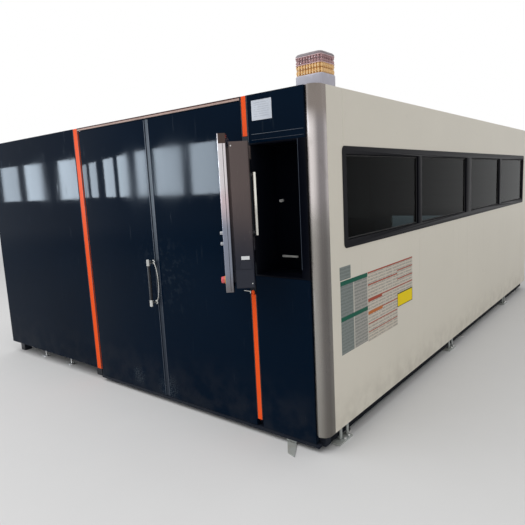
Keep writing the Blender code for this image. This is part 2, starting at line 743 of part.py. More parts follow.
def add_energy_chain():
    """A chain laid on its shelf, bent back over itself, notched between the links."""
    low = CHAIN_SHELF_LEVEL + FIT
    height, notch = CHAIN_HEIGHT, CHAIN_NOTCH
    outer = CHAIN_BEND_RADIUS + height / 2
    inner = CHAIN_BEND_RADIUS - height / 2
    center = (CHAIN_BEND_Y, low + outer)
    links = round((CHAIN_BEND_Y - CHAIN_START) / CHAIN_PITCH)
    pitch = (CHAIN_BEND_Y - CHAIN_START) / links
    gap = pitch * 0.12
    outside = []
    for index in range(links):
        near = CHAIN_START + pitch * index
        outside += [(near + gap, low), (near + pitch - gap, low), (near + pitch, low + notch)]
    outside += arc(center, outer, -70, 70, 9)
    top = low + 2 * outer
    for index in range(links):
        far = CHAIN_BEND_Y - pitch * index
        outside += [(far, top - notch), (far - gap, top), (far - pitch + gap, top)]
    inside = [(CHAIN_START, top - height), *arc(center, inner, 90, -90, 9), (CHAIN_START, low + height)]
    shelf_middle = BED_RIGHT + CHAIN_SHELF_WIDTH / 2
    start, end = shelf_middle - CHAIN_WIDTH / 2, shelf_middle + CHAIN_WIDTH / 2
    mesh = prism_mesh("energy_chain", outside + inside, start, end, along_x)
    add_object("energy_chain", mesh, CHAIN_BLACK)


# Pallet, tray

def pallet_sides():
    left = BED_RIGHT - BED_WIDTH + BED_WALL_TOP + PALLET_SIDE_PLAY
    right = BED_RIGHT - BED_WALL_TOP - PALLET_SIDE_PLAY
    return left, right


def slat_outline(left, right):
    """A slat seen from the end of the pallet, with a row of teeth along its top."""
    pitch = (right - left) / SLAT_TEETH
    top = SLAT_BOTTOM + SLAT_HEIGHT
    valley = top - SLAT_TOOTH_DEPTH
    points = [(left, SLAT_BOTTOM), (right, SLAT_BOTTOM)]
    for index in range(SLAT_TEETH):
        start = right - pitch * index
        points += [(start, valley), (start - pitch / 2, top)]
    return points + [(left, valley)]


def add_pallet():
    """A welded frame that carries a row of toothed slats on edge."""
    left, right = pallet_sides()
    start, end = PALLET_START, PALLET_START + PALLET_LENGTH
    bottom = PALLET_LEDGE_LEVEL + FIT
    top = bottom + PALLET_RAIL_HEIGHT
    width = PALLET_RAIL_WIDTH
    frame = block("sheet_pallet", (left, start, bottom), (right, end, top), PALLET_STEEL)
    cut(frame, [((left + width, start + width, bottom - PAST), (right - width, end - width, top + PAST))])
    bay = (PALLET_LENGTH - 2 * width) / (SLAT_COUNT + 1)
    outline = slat_outline(left + width / 2, right - width / 2)

    def build(shape):
        for index in range(SLAT_COUNT):
            middle = start + width + bay * (index + 1)
            near, far = middle - SLAT_THICKNESS / 2, middle + SLAT_THICKNESS / 2
            front = [shape.verts.new((x, near, z)) for x, z in outline]
            back = [shape.verts.new((x, far, z)) for x, z in outline]
            shape.faces.new(front)
            shape.faces.new(list(reversed(back)))
            for point in range(len(outline)):
                after = (point + 1) % len(outline)
                shape.faces.new((front[point], back[point], back[after], front[after]))
    combine(frame, mesh_from(build, "slats"), "UNION")


def add_scrap_tray():
    middle = BED_RIGHT - BED_WIDTH / 2
    half, wall, taper = TRAY_WIDTH / 2, TRAY_WALL, TRAY_TAPER
    bottom = BEAM_BOTTOM + BEAM_HEIGHT + BED_FLOOR + 2 * FIT
    top = bottom + TRAY_HEIGHT

    def rectangle(inset_x, inset_y):
        left, right = middle - half + inset_x, middle + half - inset_x
        near, far = TRAY_START + inset_y, TRAY_END - inset_y
        return [(left, near), (right, near), (right, far), (left, far)]
    outer = [(rectangle(taper, 0), bottom), (rectangle(0, 0), top)]
    tray = add_object("scrap_tray", lofted_mesh("scrap_tray", outer), TRAY_STEEL)
    inner_mesh = lofted_mesh("scrap_tray_cut", [(rectangle(taper + wall, wall), bottom + wall),
                                                (rectangle(wall, wall), top + wall)])
    combine(tray, inner_mesh, "DIFFERENCE")
    grip_low = top - TRAY_PULL_HEIGHT * 2
    cut(tray, [((middle - TRAY_PULL_WIDTH / 2, TRAY_END - wall - PAST, grip_low),
                (middle + TRAY_PULL_WIDTH / 2, TRAY_END + PAST, grip_low + TRAY_PULL_HEIGHT))])


# Cabin

def add_corner_pillar():
    """A stainless corner with one rounded edge and a set-back lip on its left."""
    front, side, radius = PILLAR_FRONT, PILLAR_SIDE, PILLAR_RADIUS
    lip, sink = PILLAR_RECESS_WIDTH, PILLAR_RECESS_DEPTH
    depth = FRAME_FRONT - FIT
    outline = [(-front, 0)] + arc((-radius, radius), radius, -90, 0, 10) + [(0, side)]
    outline += [(-COVER_DEPTH, side), (-COVER_DEPTH, depth), (-front - lip + FIT, depth),
                (-front - lip + FIT, sink), (-front, sink)]
    mesh = prism_mesh("corner_pillar", outline, SIDE_CLEARANCE, CABIN_HEIGHT, along_z)
    add_object("corner_pillar", mesh, STAINLESS, smooth=True)


def add_front_frame():
    """Portal of square tube with a ledge above the leaves and a sill under them."""
    near, far = FRAME_FRONT, FRAME_FRONT + FRAME_DEPTH
    left = -CABIN_WIDTH + COVER_DEPTH + FIT
    right = -COVER_DEPTH - FIT
    bottom, top = FRONT_CLEARANCE, CABIN_HEIGHT
    frame = block("front_frame", (left, near, bottom), (right, far, top), FRAME_GREY)
    low, high = bottom + FRAME_SILL, top - FRAME_TOP_RAIL
    seam = LEAF_EDGE + LEAF_MEETING_GAP / 2
    strip_middle = STRIPE_RIGHT_START + STRIPE_RIGHT_WIDTH / 2
    post = FRAME_POST / 2
    bays = [(left + FRAME_POST, seam - post), (seam + post, strip_middle - post),
            (strip_middle + post, right - FRAME_POST)]
    cut(frame, [((start, near - PAST, low), (end, far + PAST, high)) for start, end in bays])
    ledge_start, ledge_end = STRIPE_LEFT_END + FIT, STRIPE_RIGHT_START - FIT
    root = near + FRAME_DEPTH / 3
    weld(frame, [((ledge_start, 0.0, top - LEDGE_HEIGHT), (ledge_end, root, top)),
                 ((ledge_start, SILL_SETBACK, bottom), (-PILLAR_FRONT, root, bottom + LEDGE_HEIGHT))])


def leaf_levels():
    return FRONT_CLEARANCE + LEDGE_HEIGHT + LEAF_GAP, CABIN_HEIGHT - LEDGE_HEIGHT - LEAF_GAP


def leaf_hinge_x():
    return STRIPE_LEFT_END + LEAF_GAP + LEAF_NOSE


def add_front_door():
    """Left leaf with a half-round nose round its pivot line."""
    low, high = leaf_levels()
    pivot = (leaf_hinge_x(), LEAF_NOSE)
    depth = 2 * LEAF_NOSE
    outline = arc(pivot, LEAF_NOSE, 90, 270, 10) + [(LEAF_EDGE, 0), (LEAF_EDGE, depth)]
    outline = [(x, min(max(y, 0.0), depth)) for x, y in outline]
    mesh = prism_mesh("front_door", outline, low, high, along_z)
    door = add_object("front_door", mesh, GLOSS_NAVY, origin=(pivot[0], pivot[1], low))
    bore = PIVOT_PIN_RADIUS + FIT
    reach = PIVOT_PIN_LENGTH + FIT
    holes = bmesh.new()
    for level in (low, high):
        place = Matrix.Translation((pivot[0], pivot[1], level))
        bmesh.ops.create_cone(holes, cap_ends=True, segments=PIN_SEGMENTS, radius1=bore, radius2=bore,
                              depth=2 * reach, matrix=place)
    mesh = bpy.data.meshes.new("front_door_bores")
    holes.to_mesh(mesh)
    holes.free()
    combine(door, mesh, "DIFFERENCE")


def add_door_pivots():
    low, high = leaf_levels()
    x, y = leaf_hinge_x(), LEAF_NOSE
    seat = low - LEAF_GAP + FIT
    flange = seat + PIVOT_FLANGE
    tip = low + PIVOT_PIN_LENGTH
    chamfer = PIVOT_PIN_RADIUS / 4
    lower = [(0, seat), (PIVOT_FLANGE_RADIUS, seat), (PIVOT_FLANGE_RADIUS, flange),
             (PIVOT_PIN_RADIUS, flange), (PIVOT_PIN_RADIUS, tip - chamfer),
             (PIVOT_PIN_RADIUS - chamfer, tip), (0, tip)]
    upper = [(radius, high + low - height) for radius, height in reversed(lower)]
    for name, profile in (("door_pivot_lower", lower), ("door_pivot_upper", upper)):
        mesh = turned_mesh(name, profile, (x, y, 0), segments=PIN_SEGMENTS)
        add_object(name, mesh, ZINC, smooth=True)


def add_door_handle():
    """Bar handle held by two end blocks that stand off the leaf."""
    x = LEAF_EDGE - HANDLE_INSET
    inset = HANDLE_FOOT_INSET

    def build(shape):
        place = Matrix.Translation((x, -HANDLE_STAND_OFF, HANDLE_BOTTOM + HANDLE_LENGTH / 2))
        bmesh.ops.create_cone(shape, cap_ends=True, segments=PIN_SEGMENTS, radius1=HANDLE_RADIUS,
                              radius2=HANDLE_RADIUS, depth=HANDLE_LENGTH - HANDLE_CAP_LENGTH, matrix=place)
    handle = add_object("door_handle", mesh_from(build, "door_handle"), DARK_GREY, smooth=True)

    def build_caps(shape):
        for low in (HANDLE_BOTTOM, HANDLE_BOTTOM + HANDLE_LENGTH - HANDLE_CAP_LENGTH):
            place = Matrix.Translation((x, -HANDLE_STAND_OFF, low + HANDLE_CAP_LENGTH / 2))
            bmesh.ops.create_cone(shape, cap_ends=True, segments=PIN_SEGMENTS, radius1=HANDLE_CAP_RADIUS,
                                  radius2=HANDLE_CAP_RADIUS, depth=HANDLE_CAP_LENGTH, matrix=place)
            add_block(shape, (x - HANDLE_RADIUS, -HANDLE_STAND_OFF, low + inset),
                      (x + HANDLE_RADIUS, -FIT, low + HANDLE_CAP_LENGTH - inset))
    combine(handle, mesh_from(build_caps, "handle_caps"), "UNION", True)


def add_fixed_front_panel():
    low, high = leaf_levels()
    start, end = LEAF_EDGE + LEAF_MEETING_GAP, STRIPE_RIGHT_START - LEAF_GAP
    cover("fixed_front_panel", (start, 0, low), (end, FRAME_FRONT - FIT, high), GLOSS_NAVY, "+Y")


def add_stripes():
    near, far = STRIPE_SETBACK, FRAME_FRONT - FIT
    left_start = STRIPE_LEFT_END - STRIPE_LEFT_WIDTH
    right_end = STRIPE_RIGHT_START + STRIPE_RIGHT_WIDTH
    spans = (("stripe_left", left_start, STRIPE_LEFT_END, STRIPE_BOTTOM, CABIN_HEIGHT),
             ("stripe_right_lower", STRIPE_RIGHT_START, right_end, STRIPE_BOTTOM, STRIPE_LOWER_TOP),
             ("stripe_right_upper", STRIPE_RIGHT_START, right_end, STRIPE_UPPER_BOTTOM, CABIN_HEIGHT))
    for name, start, end, low, high in spans:
        cover(name, (start, near, low), (end, far, high), ORANGE, "+Y")


def bay_sides():
    start = STRIPE_RIGHT_START + STRIPE_RIGHT_WIDTH + BAY_GAP
    end = -PILLAR_FRONT - PILLAR_RECESS_WIDTH
    return start, end


def add_corner_bay():
    """Header above the recess and panel under it."""
    start, end = bay_sides()
    depth = FRAME_FRONT - FIT
    cover("corner_header", (start, 0, NICHE_TOP + FIT), (end, depth, CABIN_HEIGHT), GLOSS_NAVY, "+Y")
    bottom = FRONT_CLEARANCE + LEDGE_HEIGHT + FIT
    cover("corner_lower_panel", (start, 0, bottom), (end, depth, NICHE_BOTTOM - FIT), GLOSS_NAVY, "+Y")


def add_niche():
    """Folded recess that the console closes like a lid."""
    start, end = bay_sides()
    near, far = 0.0, NICHE_DEPTH + NICHE_SHEET
    frame_left = STRIPE_RIGHT_START + STRIPE_RIGHT_WIDTH / 2 + FRAME_POST / 2 + FIT
    frame_right = -COVER_DEPTH - FIT - FRAME_POST - FIT
    opening_left, opening_right = start + NICHE_LEFT_EDGE, NICHE_RIGHT
    collar = (end, FRAME_FRONT - FIT, NICHE_TOP)
    niche = block("niche_housing", (start, near, NICHE_BOTTOM), collar, NICHE_BLACK)
    box_left = max(opening_left - NICHE_SHEET, frame_left)
    box_right = min(opening_right + NICHE_SHEET, frame_right)
    weld(niche, [((box_left, near + NICHE_BOX_SETBACK, NICHE_BOTTOM), (box_right, far, NICHE_TOP))])
    cut(niche, [((opening_left, near - PAST, NICHE_BOTTOM + NICHE_SHEET),
                 (opening_right, NICHE_DEPTH, NICHE_TOP - NICHE_SHEET))])


def side_cover_spans():
    """Start and end of each lower side cover along Y."""
    edges = [PILLAR_SIDE + FIT, SIDE_SEAM_FRONT, SIDE_SEAM_MIDDLE, SIDE_SEAM_REAR, CABIN_LENGTH]
    spans = []
    for start, end in zip(edges, edges[1:]):
        spans.append((start, end - (SEAM_GAP if end != CABIN_LENGTH else 0)))
    return spans


def add_side_covers():
    spans = side_cover_spans()
    low, top = SIDE_CLEARANCE, CABIN_HEIGHT
    inset = WINDOW_LIP
    opening_start, opening_end = WINDOW_START + inset, WINDOW_END - inset
    sill = WINDOW_BOTTOM + inset
    lintel = WINDOW_TOP - inset
    depth = COVER_DEPTH
    cover("side_cover_middle", (-depth, spans[1][0], low), (0, spans[1][1], sill), CREAM, "-X")
    cover("side_cover_rear", (-depth, spans[2][0], low), (0, spans[2][1], sill), CREAM, "-X")
    cover("side_header", (-depth, opening_start, lintel), (0, opening_end, top), CREAM, "-X")
    ends = (("side_cover_front", spans[0], (spans[0][0], opening_start - FIT)),
            ("side_cover_end", spans[3], (opening_end + FIT, spans[3][1])))
    for name, (start, end), (column_start, column_end) in ends:
        panel = block(name, (-depth, start, low), (0, end, sill), CREAM)
        weld(panel, [((-depth, column_start, low), (0, column_end, top))])
        sheet = COVER_SHEET
        cut(panel, [((-2 * depth, start + sheet, low + sheet), (-sheet, end - sheet, sill - sheet)),
                    ((-2 * depth, column_start + sheet, sill), (-sheet, column_end - sheet, top - sheet))])


def add_window_frame():
    """One frame with a rounded lip over the covers, a body in their opening and three mullions."""
    lip, deep = WINDOW_LIP, COVER_DEPTH
    outline = rounded_rectangle((WINDOW_START, WINDOW_BOTTOM), (WINDOW_END, WINDOW_TOP),
                                WINDOW_CORNER_RADIUS)
    mesh = prism_mesh("window_frame", outline, FIT, WINDOW_LIP_DEPTH, along_x)
    frame = add_object("window_frame", mesh, WINDOW_GREY)
    inner = lip + FIT
    weld(frame, [((-deep, WINDOW_START + inner, WINDOW_BOTTOM + inner),
                  (WINDOW_LIP_DEPTH / 2, WINDOW_END - inner, WINDOW_TOP - inner))])
    low, high = WINDOW_BOTTOM + WINDOW_BORDER, WINDOW_TOP - WINDOW_BORDER
    cut(frame, [((-deep - PAST, start, low), (PAST, end, high)) for start, end in window_bays()])


def window_bays():
    mullions = ((MULLION_FRONT, MULLION_FRONT_WIDTH), (MULLION_MIDDLE, MULLION_MIDDLE_WIDTH),
                (MULLION_REAR, MULLION_REAR_WIDTH))
    starts = [WINDOW_START + WINDOW_BORDER] + [middle + width / 2 for middle, width in mullions]
    ends = [middle - width / 2 for middle, width in mullions] + [WINDOW_END - WINDOW_BORDER]
    return list(zip(starts, ends))


def add_window_panes():
    low, high = WINDOW_BOTTOM + WINDOW_BORDER + FIT, WINDOW_TOP - WINDOW_BORDER - FIT
    outer = -PANE_SETBACK
    for number, (start, end) in enumerate(window_bays(), start=1):
        inner_corner = (outer - PANE_THICKNESS, start + FIT, low)
        block(f"window_pane_{number}", inner_corner, (outer, end - FIT, high), GLASS)


def add_roof():
    left, right = -CABIN_WIDTH + COVER_DEPTH + FIT, -COVER_DEPTH - FIT
    start = FRAME_FRONT + FRAME_DEPTH + FIT
    end = CABIN_LENGTH - COVER_DEPTH - FIT
    top = CABIN_HEIGHT - ROOF_SINK
    ribs = []
    for index in range(ROOF_RIBS):
        middle = start + (end - start) * (index + 1) / (ROOF_RIBS + 1)
        ribs.append((middle - ROOF_RIB_WIDTH / 2, middle + ROOF_RIB_WIDTH / 2))
    cover("roof_panel", (left, start, top - ROOF_DEPTH), (right, end, top), LIGHT_GREY, "-Z", ribs)


def add_left_wall():
    low, top = SIDE_CLEARANCE, CABIN_HEIGHT
    left = -CABIN_WIDTH
    cover("left_wall", (left, FRAME_FRONT + FIT, low), (left + COVER_DEPTH, CABIN_LENGTH, top), CREAM, "+X")


def rear_opening():
    middle = BED_RIGHT - BED_WIDTH / 2
    return middle - REAR_OPENING_WIDTH / 2, middle + REAR_OPENING_WIDTH / 2


def add_rear_wall():
    """Rear wall with the pallet opening and the two guides of its shutter."""
    left, right = -CABIN_WIDTH + COVER_DEPTH + FIT, -COVER_DEPTH - FIT
    near, far = CABIN_LENGTH - COVER_DEPTH, CABIN_LENGTH
    wall = block("rear_wall", (left, near, SIDE_CLEARANCE), (right, far, CABIN_HEIGHT), CREAM)
    start, end = rear_opening()
    cut(wall, [((start, near - PAST, REAR_OPENING_BOTTOM), (end, far + PAST, REAR_OPENING_TOP))])
    inner_left, inner_right = start - SHUTTER_OVERLAP, end + SHUTTER_OVERLAP
    guide_near = near - SHUTTER_THICKNESS - 2 * FIT - GUIDE_LIP_THICKNESS
    low = REAR_OPENING_TOP - SHUTTER_HEIGHT
    lip_far = guide_near + GUIDE_LIP_THICKNESS
    left_edge, right_edge = inner_left - GUIDE_WIDTH, inner_right + GUIDE_WIDTH
    weld(wall, [((left_edge, guide_near, low), (inner_left - FIT, near + PAST, GUIDE_TOP)),
                ((inner_right + FIT, guide_near, low), (right_edge, near + PAST, GUIDE_TOP)),
                ((left_edge, guide_near, low), (inner_left + GUIDE_LIP, lip_far, GUIDE_TOP)),
                ((inner_right - GUIDE_LIP, guide_near, low), (right_edge, lip_far, GUIDE_TOP))])


def add_rear_shutter():
    """Lifting shutter, stored open above the pallet opening, with pressed ribs."""
    start, end = rear_opening()
    left, right = start - SHUTTER_OVERLAP, end + SHUTTER_OVERLAP
    far = CABIN_LENGTH - COVER_DEPTH - FIT
    near = far - SHUTTER_THICKNESS
    low = REAR_OPENING_TOP + FIT
    shutter = block("rear_shutter", (left, near, low), (right, far, low + SHUTTER_HEIGHT), LIGHT_GREY)
    pitch = SHUTTER_HEIGHT / SHUTTER_RIBS
    grooves = []
    for index in range(SHUTTER_RIBS):
        level = low + pitch * (index + 0.5)
        grooves.append(((start, near - PAST, level - pitch / 4),
                        (end, near + SHUTTER_RIB_DEPTH, level + pitch / 4)))
    cut(shutter, grooves)


# Left block

def add_block_shell():
    """Cabinet shell on four legs, open at the front and at the service door."""
    left, right = BLOCK_LEFT, STRIPE_LEFT_END - STRIPE_LEFT_WIDTH - FIT
    near, far = BLOCK_COVER_DEPTH + FIT, BLOCK_DEPTH
    low, top = SIDE_CLEARANCE, CABIN_HEIGHT
    wall = BLOCK_WALL
    shell = block("block_shell", (left, near, low), (right, far, top), NAVY_BODY)
    cut(shell, [((left + wall, near - wall, low + wall), (right - wall, far - wall, top - wall))])
    door_end = SERVICE_DOOR_START + SERVICE_DOOR_WIDTH
    cut(shell, [((left - wall, SERVICE_DOOR_START, SERVICE_DOOR_BOTTOM),
                 (left + 2 * wall, door_end, SERVICE_DOOR_TOP))])
    legs = []
    for x in (left + wall, right - wall - BLOCK_LEG):
        for y in (near + wall, far - wall - BLOCK_LEG):
            legs.append(((x, y, 0), (x + BLOCK_LEG, y + BLOCK_LEG, low + wall / 2)))
    weld(shell, legs)


def add_block_cover():
    left, right = BLOCK_LEFT, STRIPE_LEFT_END - STRIPE_LEFT_WIDTH - FIT
    low, high = (left, 0, SIDE_CLEARANCE), (right, BLOCK_COVER_DEPTH, CABIN_HEIGHT)
    cover("block_front_cover", low, high, GLOSS_NAVY, "+Y")


def add_service_door():
    gap = SERVICE_DOOR_GAP
    low = (BLOCK_LEFT, SERVICE_DOOR_START + gap, SERVICE_DOOR_BOTTOM + gap)
    end = SERVICE_DOOR_START + SERVICE_DOOR_WIDTH - gap
    high = (BLOCK_LEFT + BLOCK_WALL, end, SERVICE_DOOR_TOP - gap)
    mesh = boxes_mesh("service_door", [(low, high)])
    door = add_object("service_door", mesh, NAVY_BODY, origin=low)
    sheet = COVER_SHEET
    cut(door, [((low[0] + sheet, low[1] + sheet, low[2] + sheet),
                (high[0] + sheet, high[1] - sheet, high[2] - sheet))])


def latch_center():
    y = SERVICE_DOOR_START + SERVICE_DOOR_WIDTH - LATCH_INSET
    return BLOCK_LEFT - FIT, y, LATCH_LEVEL


def add_service_latch():
    """Turning lever on a round boss, hanging down when it is locked."""
    x, y, z = latch_center()
    boss = [(0, 0), (LATCH_BOSS_RADIUS, 0), (LATCH_BOSS_RADIUS * 0.9, LATCH_BOSS_LENGTH),
            (0, LATCH_BOSS_LENGTH)]
    mesh = turned_mesh("service_latch", boss, (x, y, z), axis="-X")
    latch = add_object("service_latch", mesh, ZINC, origin=(x, y, z))
    half = LATCH_LEVER_WIDTH / 2
    far = x - LATCH_BOSS_LENGTH + LATCH_LEVER_SINK
    outline = rounded_rectangle((y - half, z - LATCH_LEVER_LENGTH), (y + half, z + half), half * 0.9, 3)
    lever = prism_mesh("lever", outline, far - LATCH_LEVER_DEPTH, far, along_x)
    combine(latch, lever, "UNION")


def add_laser_source():
    right = STRIPE_LEFT_END - STRIPE_LEFT_WIDTH - FIT - BLOCK_WALL - SOURCE_RIGHT_GAP
    low = SIDE_CLEARANCE + BLOCK_WALL + FIT
    near = SOURCE_FRONT
    source = block("laser_source", (right - SOURCE_WIDTH, near, low),
                   (right, near + SOURCE_DEPTH, low + SOURCE_HEIGHT), LIGHT_GREY)
    vents = []
    for index in range(SOURCE_VENTS):
        level = low + SOURCE_HEIGHT * 0.55 + SOURCE_VENT_PITCH * index
        vents.append(((right - SOURCE_WIDTH + SOURCE_VENT_MARGIN, near - PAST, level),
                      (right - SOURCE_VENT_MARGIN, near + SOURCE_VENT_DEPTH, level + SOURCE_VENT_HEIGHT)))
    cut(source, vents)


# Signal lamp

def lamp_outline(inset):
    left = LAMP_RIGHT - LAMP_WIDTH
    return rounded_rectangle((left + inset, LAMP_FRONT + inset),
                             (LAMP_RIGHT - inset, LAMP_FRONT + LAMP_DEPTH - inset), LAMP_CORNER_RADIUS, 3)


def ribbed_tier(name, low, height, look):
    """A lens with rounded corners and ribs that run round it."""
    sections = []
    for index in range(LAMP_RIBS):
        base = low + height * index / LAMP_RIBS
        rib = height / LAMP_RIBS
        groove, crest = lamp_outline(LAMP_RIB_DEPTH), lamp_outline(LAMP_RIB_INSET)
        sections += [(groove, base + rib * 0.05), (crest, base + rib * 0.3),
                     (crest, base + rib * 0.7), (groove, base + rib * 0.95)]
    sections[0] = (sections[0][0], low)
    sections[-1] = (sections[-1][0], low + height)
    add_object(name, lofted_mesh(name, sections), look, smooth=True)


def add_signal_lamp():
    low = CABIN_HEIGHT + FIT
    bevel, top = LAMP_BASE_BEVEL, low + LAMP_BASE_HEIGHT
    base = [(lamp_outline(LAMP_BASE_TAPER), low), (lamp_outline(0.0), low + bevel),
            (lamp_outline(0.0), top - bevel), (lamp_outline(LAMP_BASE_LIP), top)]
    lamp = add_object("lamp_base", lofted_mesh("lamp_base", base), LAMP_GREY, smooth=True)
    stem_low = CABIN_HEIGHT - ROOF_SINK + FIT
    inset = LAMP_STEM_INSET
    left = LAMP_RIGHT - LAMP_WIDTH
    far = LAMP_FRONT + LAMP_DEPTH
    weld(lamp, [((left + inset, LAMP_FRONT + inset, stem_low),
                 (LAMP_RIGHT - inset, far - inset, low + LAMP_STEM_OVERLAP))])
    low += LAMP_BASE_HEIGHT + FIT
    ribbed_tier("lamp_amber_lens", low, LAMP_AMBER_HEIGHT, AMBER)
    low += LAMP_AMBER_HEIGHT + FIT
    ribbed_tier("lamp_red_lens", low, LAMP_RED_HEIGHT, PALE_RED)
    low += LAMP_RED_HEIGHT + FIT
    side = lamp_outline(LAMP_CAP_INSET)
    cap = [(side, low), (side, low + LAMP_CAP_HEIGHT * 0.4),
           (lamp_outline(LAMP_CAP_SHOULDER), low + LAMP_CAP_HEIGHT * 0.8),
           (lamp_outline(LAMP_CAP_CROWN), low + LAMP_CAP_HEIGHT)]
    add_object("lamp_cap", lofted_mesh("lamp_cap", cap), LAMP_GREY, smooth=True)


# Console. Its pieces are drawn closed, with X along its width and -Y towards the operator,
# from the pivot line, and then turned round the pivot to where it stands.

def console_object(name, mesh, look, smooth=False):
    """Place a piece of the swung console; its mesh is measured from the pivot line."""
    return add_object(name, mesh, look, smooth=smooth, parent=console_pivot)


def add_console_housing():
    outline = rounded_rectangle((CONSOLE_HINGE_GAP, -CONSOLE_DEPTH), (CONSOLE_WIDTH, 0),
                                CONSOLE_CORNER_RADIUS)
    mesh = prism_mesh("console_housing", outline, CONSOLE_BOTTOM, CONSOLE_TOP, along_z)
    housing = console_object("console_housing", mesh, CONSOLE_GREY, smooth=True)
    knuckles = bmesh.new()
    near = -KNUCKLE_TAB_SETBACK - KNUCKLE_TAB_THICKNESS
    for level in (KNUCKLE_LOWER, KNUCKLE_UPPER):
        low = level + KNUCKLE_HEIGHT + FIT
        high = low + KNUCKLE_HEIGHT
        place = Matrix.Translation((0, 0, low + KNUCKLE_HEIGHT / 2))
        bmesh.ops.create_cone(knuckles, cap_ends=True, segments=PIN_SEGMENTS, radius1=KNUCKLE_RADIUS,
                              radius2=KNUCKLE_RADIUS, depth=KNUCKLE_HEIGHT, matrix=place)
        tab_end = CONSOLE_HINGE_GAP + KNUCKLE_TAB_LENGTH
        add_block(knuckles, (0, near, low), (tab_end, -KNUCKLE_TAB_SETBACK, high))
    mesh = bpy.data.meshes.new("console_knuckles")
    knuckles.to_mesh(mesh)
    knuckles.free()
    combine(housing, mesh, "UNION", True)
    neck_low = -CONSOLE_DEPTH - BEZEL_NECK + FIT
    inset = BEZEL_NECK_INSET
    weld(housing, [((CONSOLE_HINGE_GAP + inset, neck_low, CONSOLE_BOTTOM + inset),
                    (CONSOLE_WIDTH - inset, -CONSOLE_DEPTH + PAST, CONSOLE_TOP - inset))])


def bezel_back():
    return -CONSOLE_DEPTH - BEZEL_NECK


def add_console_bezel():
    """Bright front frame with pockets for the screen and the keys, and two button holes."""
    back = bezel_back()
    face = back - BEZEL_DEPTH
    outline = rounded_rectangle((0, face), (CONSOLE_WIDTH, back), BEZEL_CORNER_RADIUS, 2)
    mesh = prism_mesh("console_bezel", outline, BEZEL_BOTTOM, BEZEL_TOP, along_z)
    bezel = console_object("console_bezel", mesh, BEZEL_STEEL)
    rim = BEZEL_RIM
    deep = face + SCREEN_POCKET
    cut(bezel, [((rim, face - PAST, SCREEN_BOTTOM), (CONSOLE_WIDTH - rim, deep, BEZEL_TOP - rim)),
                ((rim, face - PAST, KEYPAD_BOTTOM), (CONSOLE_WIDTH - rim, deep, KEYPAD_TOP))])


def add_console_inlays():
    face = bezel_back() - BEZEL_DEPTH
    rim, deep = BEZEL_RIM + FIT, face + SCREEN_POCKET - FIT
    near = face + INLAY_SETBACK
    screen = boxes_mesh("console_screen", [((rim, near, SCREEN_BOTTOM + FIT),
                                            (CONSOLE_WIDTH - rim, deep, BEZEL_TOP - rim))])
    console_object("console_screen", screen, SCREEN_BLACK)
    keypad = boxes_mesh("console_keypad", [((rim, near, KEYPAD_BOTTOM + FIT),
                                            (CONSOLE_WIDTH - rim, deep, KEYPAD_TOP - FIT))])
    console_object("console_keypad", keypad, DARK_GREY)


def button_in_bezel(name, center, stem_radius, travel, cap, look):
    """Turned button whose stem runs in a blind hole of the bezel, deeper by its travel."""
    stem_end = -2 * travel
    profile = [(0, stem_end), (stem_radius, stem_end), *cap]
    mesh = turned_mesh(name, profile, center, axis="-Y", segments=BUTTON_SEGMENTS)
    console_object(name, mesh, look, smooth=True)
    floor = stem_end - travel - FIT
    hole = [(0, floor), (stem_radius + FIT, floor), (stem_radius + FIT, travel), (0, travel)]
    bezel = bpy.data.objects["console_bezel"]
    mesh = turned_mesh("button_hole", hole, center, axis="-Y", segments=BUTTON_SEGMENTS)
    combine(bezel, mesh, "DIFFERENCE")


def add_console_buttons():
    face = bezel_back() - BEZEL_DEPTH
    radius, height = STOP_RADIUS, STOP_HEIGHT
    stem = radius * 0.6
    under = STOP_TRAVEL + FIT
    mushroom = [(stem, under), (radius, under + radius / 10), (radius, height * 0.75),
                (radius * 0.75, height), (0, height)]
    button_in_bezel("stop_button", (STOP_INSET, face, STOP_LEVEL), stem, STOP_TRAVEL, mushroom, STOP_RED)
    top = START_HEIGHT
    cap = [(START_RADIUS, top * 0.8), (START_RADIUS * 0.85, top), (0, top)]
    center = (START_INSET, face, STOP_LEVEL)
    button_in_bezel("start_button", center, START_RADIUS, START_TRAVEL, cap, START_GREEN)


def add_console_grip():
    """Bow grip on the back, a round bar bent into its two feet."""
    x = CONSOLE_WIDTH - GRIP_INSET
    curve = bpy.data.curves.new("console_grip", "CURVE")
    curve.dimensions = "3D"
    curve.bevel_depth = GRIP_RADIUS
    curve.bevel_resolution = 2
    curve.use_fill_caps = True
    bend = GRIP_STAND_OFF * 0.8
    low = GRIP_BOTTOM + GRIP_RADIUS
    high = GRIP_BOTTOM + GRIP_LENGTH - GRIP_RADIUS
    out = GRIP_STAND_OFF - GRIP_RADIUS
    foot = GRIP_RADIUS / 2
    steps = GRIP_BEND_STEPS
    angles = [math.radians(90 * step / steps) for step in range(steps + 1)]
    bow = [(foot + (out - foot) * math.sin(angle), bend * (1 - math.cos(angle))) for angle in angles]
    points = [(x, FIT, low)] + [(x, y, low + rise) for y, rise in bow]
    points += [(x, y, high - rise) for y, rise in reversed(bow)] + [(x, FIT, high)]
    line = curve.splines.new("POLY")
    line.points.add(len(points) - 1)
    for point, place in zip(line.points, points):
        point.co = (*place, 1)
    grip = bpy.data.objects.new("console_grip", curve)
    scene.collection.objects.link(grip)
    grip.parent = console_pivot
    curve.materials.append(CHROME)


